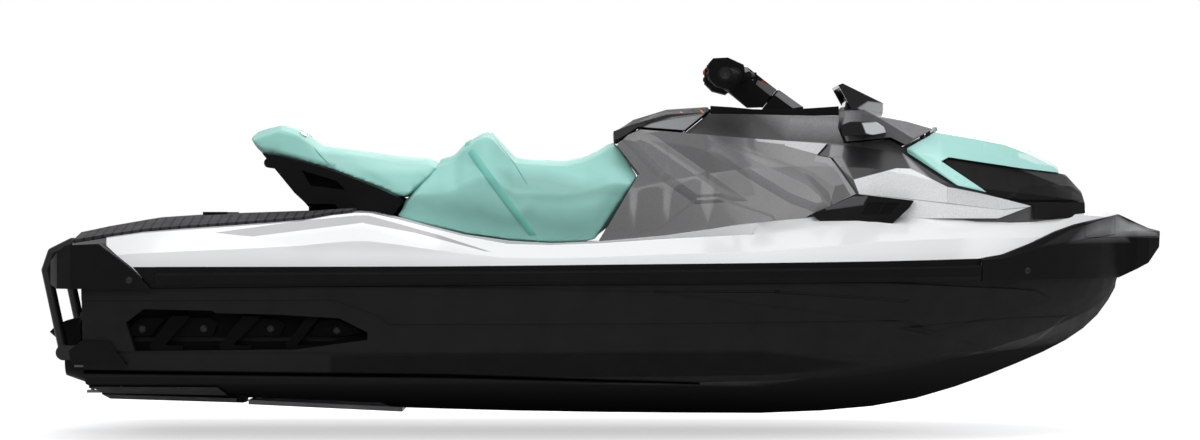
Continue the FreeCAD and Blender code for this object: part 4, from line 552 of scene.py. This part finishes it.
STEEL = finish(
    "stainless", (0.55, 0.55, 0.56), (0.18, 0.30), metal=1.0, grain=(600, 0.10, 0.0003))
TUBE = finish(
    "black_tube", (0.008, 0.008, 0.0085), (0.34, 0.46), spec=0.2, grain=(500, 0.12, 0.0003), edge_wear_and_highlight=0.15)
ENGINE = finish(
    "engine_grey", (0.20, 0.21, 0.22), (0.45, 0.6), metal=0.6, grain=(250, 0.4, 0.0006), edge_wear_and_highlight=0.3)
# Seat vinyl: painted shade on the rider seat's side and on the rear bolster's foot, and painted light on the
# rear seat's top.
VINYL = finish(
    "teal_vinyl", (0.290, 0.600, 0.535), (0.40, 0.50), spec=0.35, grain=(520, 0.5, 0.0006),
    mottle=(4.0, 0.05), sheen=0.15, rounding=0.004,
    areas=[(SEAT_SIDE_PAINTED_SHADE, (0.215, 0.445, 0.395), 0.020), (REAR_TOP_PAINTED_LIGHT, (0.380, 0.690, 0.620), 0.012),
           (REAR_SHADE, (0.150, 0.320, 0.285), 0.006)])
BAND = finish(
    "strap_vinyl", (0.165, 0.500, 0.425), (0.42, 0.52), spec=0.35, grain=(700, 0.5, 0.0005), rounding=0.001)
THREAD = finish(
    "seam_thread", (0.150, 0.400, 0.345), (0.6, 0.7), spec=0.3, grain=(1500, 0.8, 0.0005))
SCREEN = finish(
    "screen_glass", (0.012, 0.016, 0.020), (0.05, 0.09), spec=0.4, coat=0.5, grain=(200, 0.02, 0.0002),
    mottle=(25.0, 0.4))
ORANGE = finish(
    "orange_mark", (0.62, 0.095, 0.030), (0.4, 0.5), grain=(900, 0.1, 0.0003))

DRESS = {
    "hull": BLACK_HULL, "deck": WHITE, "engine": ENGINE, "bow_bumper": BUMPER, "stern_bumper": BLACK_TRIM,
    "rub_rails": BLACK_TRIM, "side_steps": MATT, "stern_corners": BLACK_TRIM, "bottom_shoes": MATT,
    "ride_plate": MATT, "pump_housing": ALUMINIUM, "pump_venturi": ALUMINIUM, "impeller": STEEL,
    "steering_nozzle": BLACK_TRIM, "reverse_bucket": BLACK_TRIM, "intake_grate": ALUMINIUM,
    "console": CHARCOAL, "glove_box_lid": GLOVE, "front_lid": CHARCOAL, "side_panel_left": GREY,
    "side_panel_right": GREY, "wing_panels": WING, "hood": TEAL, "nose_grille": NOSE_BLACK,
    "air_intakes": INTAKE, "windshield": LENS, "gauge": LENS, "mirrors": BLACK_GLOSS,
    "rear_seat": VINYL, "rider_seat": VINYL, "seat_base": MATT, "grab_rail": BLACK_TRIM,
    "platform_mat": MAT, "platform_latches": BLACK_TRIM, "footwell_mats": MAT,
    "steering_column": NECK, "handlebar_neck": NECK, "handlebar": TUBE, "grips": RUBBER,
    "bar_controls": BLACK_TRIM, "boarding_ladder": TUBE, "ladder_lugs": TUBE, "stern_eyes": TUBE,
    "tow_eye": TUBE, "hatch_trim": SILVER}

# Smooth shading, and the solids in their finishes

WELD_REACH = 0.00005
USUAL_ANGLE = 20
SOFT_ANGLES = {"hull": 13, "deck": 17, "bow_bumper": 14}


def smoother(angle):
    """Node group that shades smoothly across edges flatter than angle."""
    tree = bpy.data.node_groups.get("smooth_%g" % angle)
    if tree is not None:
        return tree
    tree = bpy.data.node_groups.new("smooth_%g" % angle, "GeometryNodeTree")
    tree.interface.new_socket("Geometry", in_out="INPUT", socket_type="NodeSocketGeometry")
    tree.interface.new_socket("Geometry", in_out="OUTPUT", socket_type="NodeSocketGeometry")
    start = tree.nodes.new("NodeGroupInput")
    end = tree.nodes.new("NodeGroupOutput")
    faces = tree.nodes.new("GeometryNodeSetShadeSmooth")
    faces.domain = "FACE"
    edges = tree.nodes.new("GeometryNodeSetShadeSmooth")
    edges.domain = "EDGE"
    turn = tree.nodes.new("GeometryNodeInputMeshEdgeAngle")
    flat = tree.nodes.new("FunctionNodeCompare")
    flat.data_type = "FLOAT"
    flat.operation = "LESS_EQUAL"
    flat.inputs[1].default_value = math.radians(angle)
    tree.links.new(turn.outputs["Unsigned Angle"], flat.inputs[0])
    tree.links.new(start.outputs[0], faces.inputs["Geometry"])
    tree.links.new(faces.outputs[0], edges.inputs["Geometry"])
    tree.links.new(flat.outputs[0], edges.inputs["Shade Smooth"])
    tree.links.new(edges.outputs[0], end.inputs[0])
    return tree


def soften(obj, angle):
    """Smooth shading across edges flatter than angle, as a modifier."""
    weld = obj.modifiers.new("weld", "WELD")
    weld.merge_threshold = WELD_REACH
    smooth = obj.modifiers.new("smooth", "NODES")
    smooth.node_group = smoother(angle)


for name, obj in nodes.items():
    obj.data.materials.clear()
    obj.data.materials.append(DRESS[name])
    soften(obj, SOFT_ANGLES.get(name, USUAL_ANGLE))

# Places on the surfaces, found along the line of sight of the side view


def tree_of(*objects):
    """One search tree over the shown surfaces of several objects."""
    graph = bpy.context.evaluated_depsgraph_get()
    points, faces = [], []
    for obj in objects:
        mesh = obj.evaluated_get(graph).to_mesh()
        start = len(points)
        points += [obj.matrix_world @ v.co for v in mesh.vertices]
        faces += [[start + i for i in face.vertices] for face in mesh.polygons]
        obj.evaluated_get(graph).to_mesh_clear()
    return BVHTree.FromPolygons(points, faces)


def seen_at(tree, px, py):
    """Point and outward normal where the line of sight through (px, py) meets the surface."""
    place, normal, _, _ = tree.ray_cast(EYE, sight(px, py).normalized())
    if place is None:
        return None, None
    if normal.y > 0:
        normal = -normal
    return place, normal


# Pieces, and the bodies that they are made of

ACROSS = Vector((0, -1, 0))
CORNER_STEPS = 5


def piece(name, mesh, body, material, smooth):
    obj = bpy.data.objects.new(name, mesh)
    scene.collection.objects.link(obj)
    mesh.materials.append(material)
    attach(obj, body)
    if smooth:
        soften(obj, smooth)
    return obj


def stand_in(name, node, material):
    """Copy of a node's mesh that is shown instead of the node."""
    graph = bpy.context.evaluated_depsgraph_get()
    mesh = bpy.data.meshes.new_from_object(nodes[node].evaluated_get(graph))
    mesh.name = name
    mesh.materials.clear()
    obj = piece(name, mesh, "craft", material, 0)
    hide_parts(node)
    return obj


def frame_at(normal):
    """Two directions across a surface whose normal is given."""
    side = normal.cross(Vector((0, 0, 1)))
    if side.length < 0.1:
        side = Vector((1, 0, 0))
    side.normalize()
    return side, normal.cross(side).normalized()


def both_sides(bm):
    """Adds the mirror image of everything in the mesh, across the centre plane."""
    copy = bmesh.ops.duplicate(bm, geom=bm.verts[:] + bm.edges[:] + bm.faces[:])["geom"]
    for item in copy:
        if isinstance(item, bmesh.types.BMVert):
            item.co.y = -item.co.y
    bmesh.ops.reverse_faces(bm, faces=[f for f in copy if isinstance(f, bmesh.types.BMFace)])


def mesh_from(bm, name):
    mesh = bpy.data.meshes.new(name)
    bm.to_mesh(mesh)
    bm.free()
    return mesh


def finished(bm, name, body, material, smooth=30, mirrored=True):
    """Piece whose faces all point outwards, on both sides of the craft where it is mirrored."""
    bmesh.ops.recalc_face_normals(bm, faces=bm.faces)
    if mirrored:
        both_sides(bm)
    piece(name, mesh_from(bm, name), body, material, smooth)


def skin(bm, first, second):
    """Faces between two closed loops of corners."""
    for i in range(len(first)):
        k = (i + 1) % len(first)
        bm.faces.new((first[i], first[k], second[k], second[i]))


def turned(bm, centre, axis, profile, sides=40):
    """Closed profile of (radius, distance along the axis), turned round the axis."""
    u, v = frame_at(axis)
    rings = []
    for r, d in profile:
        ring = []
        for i in range(sides):
            angle = 2 * math.pi * i / sides
            ring.append(bm.verts.new(centre + axis * d + (u * math.cos(angle) + v * math.sin(angle)) * r))
        rings.append(ring)
    for a, b in zip(rings, rings[1:] + rings[:1]):
        skin(bm, a, b)


def prism(bm, near, far):
    """Closed solid between two loops of places."""
    loops = [[bm.verts.new(place) for place in loop] for loop in (near, far)]
    bm.faces.new(loops[0])
    bm.faces.new(loops[1])
    skin(bm, *loops)


def plate(bm, centre, up, half_wide, half_high, thick, corner):
    """Rounded plate with a chamfered rim, lying across the craft on a surface that rises along up."""
    out = ACROSS.cross(up).normalized()
    loops = []
    for inset, lift in ((0.0, 0.0), (0.0, thick * 0.6), (thick * 0.4, thick)):
        loop = []
        for x_side, z_side, first in ((1, 1, 0), (-1, 1, 90), (-1, -1, 180), (1, -1, 270)):
            for step in range(CORNER_STEPS + 1):
                angle = math.radians(first + step * 90 / CORNER_STEPS)
                x = x_side * (half_wide - corner) + (corner - inset) * math.cos(angle)
                z = z_side * (half_high - corner) + (corner - inset) * math.sin(angle)
                loop.append(bm.verts.new(centre + ACROSS * x + up * z + out * lift))
        loops.append(loop)
    bm.faces.new(loops[0])
    bm.faces.new(loops[-1])
    for a, b in zip(loops, loops[1:]):
        skin(bm, a, b)


# Button-head screws: places on the side view and the radius of each head

BUMPER_SCREWS = [(128.9, 280.3, 0.0085), (1027.5, 270.6, 0.0085)]
STEP_SCREWS = [(142, 329, 0.009), (203.5, 328.7, 0.009), (270.5, 328.7, 0.009), (337, 330.7, 0.009)]
CORNER_SCREWS = [(121.5, 386.5, 0.004), (178.5, 387.5, 0.004)]
SCREW_PROFILE = [
    (1.18, -0.10), (1.18, 0.10), (0.98, 0.16), (0.92, 0.34), (0.74, 0.48), (0.50, 0.52), (0.46, 0.46),
    (0.46, 0.10)]
SOCKET_FROM = 5
SCREW_SIDES = 24
SCREW_SUNK = 0.0005


def add_screw(bm, place, normal, radius):
    """Screw with a hexagon socket, turned as a profile round its own axis."""
    u, v = frame_at(normal)
    rings = []
    for step, (r, h) in enumerate(SCREW_PROFILE):
        ring = []
        for i in range(SCREW_SIDES):
            angle = 2 * math.pi * i / SCREW_SIDES
            reach = r * radius
            if step >= SOCKET_FROM:
                reach *= math.cos(math.pi / 6) / math.cos((angle % (math.pi / 3)) - math.pi / 6)
            spot = place + (u * math.cos(angle) + v * math.sin(angle)) * reach + normal * h * radius
            ring.append(bm.verts.new(spot))
        rings.append(ring)
    for a, b in zip(rings, rings[1:]):
        skin(bm, a, b)
    bm.faces.new(rings[-1])
    bm.normal_update()


def seen_screws(name, node_names, spots):
    tree = tree_of(*[nodes[n] for n in node_names])
    bm = bmesh.new()
    for px, py, radius in spots:
        place, normal = seen_at(tree, px, py)
        if place is not None:
            add_screw(bm, place - normal * SCREW_SUNK, normal, radius)
    both_sides(bm)
    piece(name, mesh_from(bm, name), "craft", TUBE, 30)


seen_screws("bumper_screws", ("bow_bumper", "stern_bumper"), BUMPER_SCREWS)
seen_screws("step_screws", ("side_steps",), STEP_SCREWS)
seen_screws("corner_screws", ("bottom_shoes", "hull", "stern_corners"), CORNER_SCREWS)

# Trim beside solids: rims along the cockpit, the rub rails' ends, fillers at the ride plate

RIM_TOP = [
    (0.339, 0.7088), (0.40, 0.7050), (0.47, 0.6985), (0.55, 0.6965), (0.62, 0.7000), (0.69, 0.7045),
    (0.733, 0.7075)]
RIM_FOOT = [(0.733, 0.680), (0.60, 0.678), (0.47, 0.682), (0.339, 0.684)]
RIM_SIDES = (0.150, 0.160)
RAIL_TAIL = [(-1.3070, 0.2195), (-1.3070, 0.1590), (-1.3225, 0.1590), (-1.3765, 0.2195)]
RAIL_SIDES = (0.5760, 0.5990)
DUCT_SHOE = [(-1.1125, -0.1750), (-1.0850, -0.1770), (-1.0850, -0.2000), (-1.1125, -0.2000)]
DUCT_SIDES = (0.102, 0.186)


def slabs(name, outline, sides):
    """Black trim of an outline in x and z between two distances from the centre plane."""
    bm = bmesh.new()
    prism(bm, *[[(x, -side, z) for x, z in outline] for side in sides])
    finished(bm, name, "craft", BLACK_TRIM)


slabs("cockpit_rims", RIM_TOP + RIM_FOOT, RIM_SIDES)
slabs("rail_tails", RAIL_TAIL, RAIL_SIDES)
slabs("duct_shoes", DUCT_SHOE, DUCT_SIDES)

# Bow bumper whose tip tapers on from the hull, where the solid swells again

BOW_TIP_FROM, BOW_TIP_FULL, BOW_TIP_NARROW = 1.606, 1.640, 0.66

cover = stand_in("bow_bumper_cover", "bow_bumper", BUMPER)
for vert in cover.data.vertices:
    share = min(1.0, max(0.0, (vert.co.x - BOW_TIP_FROM) / (BOW_TIP_FULL - BOW_TIP_FROM)))
    vert.co.y *= 1 + (BOW_TIP_NARROW - 1) * share

# Gauge and buttons that face the rider; a plate's size is half width, half height, thickness, corner

GAUGE_FOOT = Vector((0.75556, 0, 0.6930))
GAUGE_HEAD = Vector((0.76763, 0, 0.7436))
GAUGE_UP = (GAUGE_HEAD - GAUGE_FOOT).normalized()
BEZEL_SIZE = (0.096, 0.0225, 0.0020, 0.006)
SCREEN_SIZE = (0.078, 0.0180, 0.0008, 0.004)
SWITCH_BACK = 0.3312
BACKWARD = Vector((-1, 0, 0))
KNOB = [(0.0001, 0.0), (0.0085, 0.0), (0.0085, 0.0016), (0.0068, 0.0020), (0.0066, 0.0040), (0.0054, 0.0048),
        (0.0001, 0.0050)]
BUTTONS = (
    ("start_buttons", 0.183, 0.826, ORANGE), ("mode_buttons", 0.207, 0.826, BLACK_GLOSS),
    ("menu_buttons", 0.195, 0.803, BLACK_GLOSS))

gauge_middle = (GAUGE_FOOT + GAUGE_HEAD) / 2
bezel_front = gauge_middle + ACROSS.cross(GAUGE_UP) * BEZEL_SIZE[2]
bm = bmesh.new()
plate(bm, gauge_middle, GAUGE_UP, *BEZEL_SIZE)
finished(bm, "gauge_bezel", "craft", BLACK_GLOSS, mirrored=False)
bm = bmesh.new()
plate(bm, bezel_front, GAUGE_UP, *SCREEN_SIZE)
finished(bm, "gauge_screen", "craft", SCREEN, mirrored=False)
for label, place_y, place_z, material in BUTTONS:
    bm = bmesh.new()
    turned(bm, Vector((SWITCH_BACK, place_y, place_z)), BACKWARD, KNOB, 28)
    finished(bm, label, "handlebar", material)

# Rubber grips with rings, and the cap on the bar's end

BAR_BEND = Vector((0.44505, 0.110, 0.79860))
BAR_END = Vector((0.37709, 0.385, 0.79651))
BAR_AXIS = (BAR_END - BAR_BEND).normalized()
GRIP_LENGTH = 0.1288
GRIP_ROOT = BAR_END - BAR_AXIS * GRIP_LENGTH
GRIP_COLLAR = [(0.0174, 0.0), (0.0235, 0.0), (0.0245, 0.0015), (0.0235, 0.0045), (0.0195, 0.0055)]
GRIP_RING = [(0.0184, 0.0), (0.0196, 0.0012), (0.0196, 0.0045), (0.0184, 0.0057)]
GRIP_FOOT = [(0.0200, 0.1205), (0.0216, 0.1225), (0.0222, 0.1262), (0.0205, 0.1285), (0.0174, 0.1287)]
RINGS, RING_FROM, RING_STEP = 15, 0.010, 0.0073
BAR_CAP = [
    (0.0040, 0.1284), (0.0040, 0.1262), (0.0048, 0.1262), (0.0052, 0.1295), (0.0110, 0.1298),
    (0.0125, 0.1310), (0.0165, 0.1310), (0.0171, 0.1296), (0.0171, 0.1284)]

rings = [(r, RING_FROM + i * RING_STEP + d) for i in range(RINGS) for r, d in GRIP_RING]
bm = bmesh.new()
turned(bm, GRIP_ROOT, BAR_AXIS, GRIP_COLLAR + rings + GRIP_FOOT)
finished(bm, "grip_sleeves", "handlebar", RUBBER)
bm = bmesh.new()
turned(bm, GRIP_ROOT, BAR_AXIS, BAR_CAP)
finished(bm, "grip_ends", "handlebar", BLACK_GLOSS)

# Rubber gaskets in the slits at the steering joint and beside the glove lid

STEER_RAKE = math.radians(37)
STEER_AXIS = Vector((-math.cos(STEER_RAKE), 0, math.sin(STEER_RAKE)))
STEER_JOINT = Vector((0.52785, 0, 0.7348))
STEER_ACROSS = Vector((STEER_AXIS.z, 0, -STEER_AXIS.x))
STEER_HALF = 0.038
LID_DEEPER = 0.005
LID_BESIDE = (-0.009, 0.014)


def gasket(name, outline, body):
    """Rubber filler across the craft, from (x, half width, z) corners of its section."""
    bm = bmesh.new()
    prism(bm, [(x, -y, z) for x, y, z in outline], outline)
    finished(bm, name, body, RUBBER, 0, False)


def joint_point(along_joint, off):
    place = STEER_JOINT + STEER_ACROSS * along_joint + STEER_AXIS * off
    return (place.x, STEER_HALF, place.z)


gasket("column_gasket", [joint_point(-0.037, -0.001), joint_point(0.0335, -0.001),
                         (0.5553, STEER_HALF, 0.7607), (0.5062, STEER_HALF, 0.7045)], "craft")
gasket("neck_gasket", [joint_point(-0.033, 0.001), joint_point(0.034, 0.001),
                       (0.5482, STEER_HALF, 0.7621), (0.4990, STEER_HALF, 0.7102)], "handlebar")


def lid_gasket(name, start, end, off, thick):
    """Filler in the slit beside the lid's edge, a little under the surface around it."""
    tree = tree_of(nodes["glove_box_lid"], nodes["console"], nodes["side_panel_right"])
    start, end = Vector(start), Vector(end)
    way = (end - start).normalized()
    down = Vector((way.z, 0, -way.x))
    halves = []
    for spot in (start, end):
        reach = []
        for side in LID_BESIDE:
            place, _, _, _ = tree.ray_cast(spot + down * side + ACROSS, -ACROSS)
            if place is not None:
                reach.append(abs(place.y))
        halves.append(min(reach) - LID_DEEPER)
    corners = [(start + down * off, halves[0]), (end + down * off, halves[1]),
               (end + down * (off + thick), halves[1]), (start + down * (off + thick), halves[0])]
    gasket(name, [(c.x, h, c.z) for c, h in corners], "craft")


lid_gasket("lid_front_gasket", (0.2625, 0, 0.6361), (0.3255, 0, 0.6876), 0.0012, 0.0036)
lid_gasket("lid_rear_gasket", (0.0500, 0, 0.5997), (0.1120, 0, 0.6413), 0.0010, 0.0020)

# Seats: each pad is remeshed from its solid and inflated as cloth

CLOTH_FRAMES = 20
CLOTH_PRESSURE = 4.0
CLOTH_STIFFNESS = 60
CLOTH_BENDING = 8
MOVE_ROUNDS = 12
PAD_ROUNDS = 2
PAD_INSET = 0.001
PAD_REACH = 0.007
RIDER_CELL = 0.0075
REAR_CELL = 0.006


def bake(obj):
    """Applies an object's modifiers to its mesh."""
    graph = bpy.context.evaluated_depsgraph_get()
    made = bpy.data.meshes.new_from_object(obj.evaluated_get(graph))
    old = obj.data
    name = old.name
    obj.modifiers.clear()
    obj.data = made
    bpy.data.meshes.remove(old)
    made.name = name


def averaged(moves, beside):
    """Each move drawn halfway to the mean of its neighbours' moves."""
    made = []
    for move, near in zip(moves, beside):
        mean = sum((moves[i] for i in near), Vector()) / len(near)
        made.append((move + mean) / 2)
    return made


def inflate(obj):
    """Cloth under pressure, whose moves are evened out and held within the pad's reach."""
    rest = [v.co.copy() for v in obj.data.vertices]
    cloth = obj.modifiers.new("cloth", "CLOTH")
    cloth.settings.use_pressure = True
    cloth.settings.uniform_pressure_force = CLOTH_PRESSURE
    cloth.settings.effector_weights.gravity = 0.0
    cloth.settings.tension_stiffness = CLOTH_STIFFNESS
    cloth.settings.compression_stiffness = CLOTH_STIFFNESS
    cloth.settings.bending_stiffness = CLOTH_BENDING
    cloth.point_cache.frame_start = 1
    cloth.point_cache.frame_end = CLOTH_FRAMES
    for step in range(1, CLOTH_FRAMES + 1):
        scene.frame_set(step)
    bake(obj)
    moves = [vert.co - start for vert, start in zip(obj.data.vertices, rest)]
    beside = [[] for _ in moves]
    for edge in obj.data.edges:
        a, b = edge.vertices
        beside[a].append(b)
        beside[b].append(a)
    for _ in range(MOVE_ROUNDS):
        moves = averaged(moves, beside)
    for vert, start, move in zip(obj.data.vertices, rest, moves):
        vert.co = start + (move if move.length < PAD_REACH else move.normalized() * PAD_REACH)
    scene.frame_set(1)


def pad(name, node, cell):
    """Padded cover grown from a seat's solid, which it replaces."""
    obj = stand_in(name, node, VINYL)
    remesh = obj.modifiers.new("remesh", "REMESH")
    remesh.mode = "VOXEL"
    remesh.voxel_size = cell
    bake(obj)
    bm = bmesh.new()
    bm.from_mesh(obj.data)
    for _ in range(PAD_ROUNDS):
        bmesh.ops.smooth_vert(
            bm, verts=bm.verts, factor=0.5, use_axis_x=True, use_axis_y=True, use_axis_z=True)
    bm.normal_update()
    for vert in bm.verts:
        vert.co -= vert.normal * PAD_INSET
    bm.to_mesh(obj.data)
    bm.free()
    inflate(obj)
    for face in obj.data.polygons:
        face.use_smooth = True
    rounder = obj.modifiers.new("rounder", "SUBSURF")
    rounder.levels = 1
    rounder.render_levels = 1
    return obj


rider = pad("rider_cushion", "rider_seat", RIDER_CELL)
rear = pad("rear_cushion", "rear_seat", REAR_CELL)

# Strap, seams and buttons on the finished covers; a ribbon's size is half width, height over and under

STRAP_LINE = [(467.5, 146), (476, 158.5), (492, 181), (512, 208), (530, 231), (539, 244)]
RIDER_SEAM_LINE = [(492, 136), (502, 148), (514, 163), (527, 184)]
REAR_SEAM_LINE = [(301, 131), (308, 141), (318, 153), (333, 168)]
BOLSTER_BUTTON = (303, 135)
BUTTON_SUNK = 0.001
BUTTON_PROFILE = [(0.0001, 0.0), (0.0125, 0.0), (0.0125, 0.0045), (0.0110, 0.0062), (0.0001, 0.0066)]
STRAP_SIZE = (0.0112, 0.0030, 0.006)
SEAM_SIZE = (0.0016, 0.0008, 0.003)
SPOT_STEP = 0.010
CROWN_STEPS = 14
ABOVE = 2.0
LINE_ROUNDS = 3


def along(points, step):
    """Points every step along a line through points."""
    made = []
    for a, b in zip(points, points[1:]):
        count = max(1, int((b - a).length / step))
        made += [a.lerp(b, i / count) for i in range(count)]
    return made + [points[-1]]


def draped_line(tree, outline):
    """Line drawn on the side view and laid on the surface it meets."""
    route = along([Vector((px, py, 0)) for px, py in outline], SPOT_STEP / PIXEL)
    spots = [seen_at(tree, p.x, p.y) for p in route]
    return [s for s in spots if s[0] is not None]


def over_top(tree, start):
    """The same line carried over the crown, from one side to the other."""
    made = []
    for i in range(1, CROWN_STEPS):
        y = start.y * (1 - 2 * i / CROWN_STEPS)
        place, normal, _, _ = tree.ray_cast(Vector((start.x, y, ABOVE)), Vector((0, 0, -1)))
        if place is not None:
            made.append((place, normal if normal.z > 0 else -normal))
    return made


def mirror_spots(spots):
    return [(Vector((p.x, -p.y, p.z)), Vector((n.x, -n.y, n.z))) for p, n in spots]


def smoothed(spots):
    """Spots and normals drawn towards their neighbours, the ends held."""
    for _ in range(LINE_ROUNDS):
        kept = [spots[0]]
        for a, b, c in zip(spots, spots[1:], spots[2:]):
            kept.append(((a[0] + b[0] * 2 + c[0]) / 4, (a[1] + b[1] * 2 + c[1]).normalized()))
        spots = kept + [spots[-1]]
    return spots


def whole_line(tree, outline):
    """A line up one side, over the crown and down the other."""
    side = draped_line(tree, outline)
    return smoothed(mirror_spots(side)[::-1] + over_top(tree, side[0][0])[::-1] + side)


def ribbon(name, spots, half, proud, sunk, material):
    """Flat band with rounded edges, laid along spots on a seat."""
    profile = [(-1.0, -sunk), (-1.0, proud * 0.45), (-0.82, proud), (0.0, proud * 1.12), (0.82, proud),
               (1.0, proud * 0.45), (1.0, -sunk)]
    bm = bmesh.new()
    rings = []
    for i, (place, normal) in enumerate(spots):
        ahead = spots[min(i + 1, len(spots) - 1)][0] - spots[max(i - 1, 0)][0]
        across = ahead.cross(normal).normalized()
        rings.append([bm.verts.new(place + across * half * u + normal * h) for u, h in profile])
    for a, b in zip(rings, rings[1:]):
        for i in range(len(profile) - 1):
            bm.faces.new((a[i], a[i + 1], b[i + 1], b[i]))
    bm.faces.new(rings[0])
    bm.faces.new(rings[-1][::-1])
    finished(bm, name, "craft", material, 50, False)


rider_tree = tree_of(rider)
rear_tree = tree_of(rear)
ribbon("seat_strap", whole_line(rider_tree, STRAP_LINE), *STRAP_SIZE, BAND)
ribbon("rider_seam", whole_line(rider_tree, RIDER_SEAM_LINE), *SEAM_SIZE, THREAD)
place, normal = seen_at(rear_tree, *BOLSTER_BUTTON)
bm = bmesh.new()
turned(bm, place - normal * BUTTON_SUNK, normal, BUTTON_PROFILE, 28)
finished(bm, "bolster_buttons", "craft", STEEL)
ribbon("rear_seam", whole_line(rear_tree, REAR_SEAM_LINE), *SEAM_SIZE, THREAD)
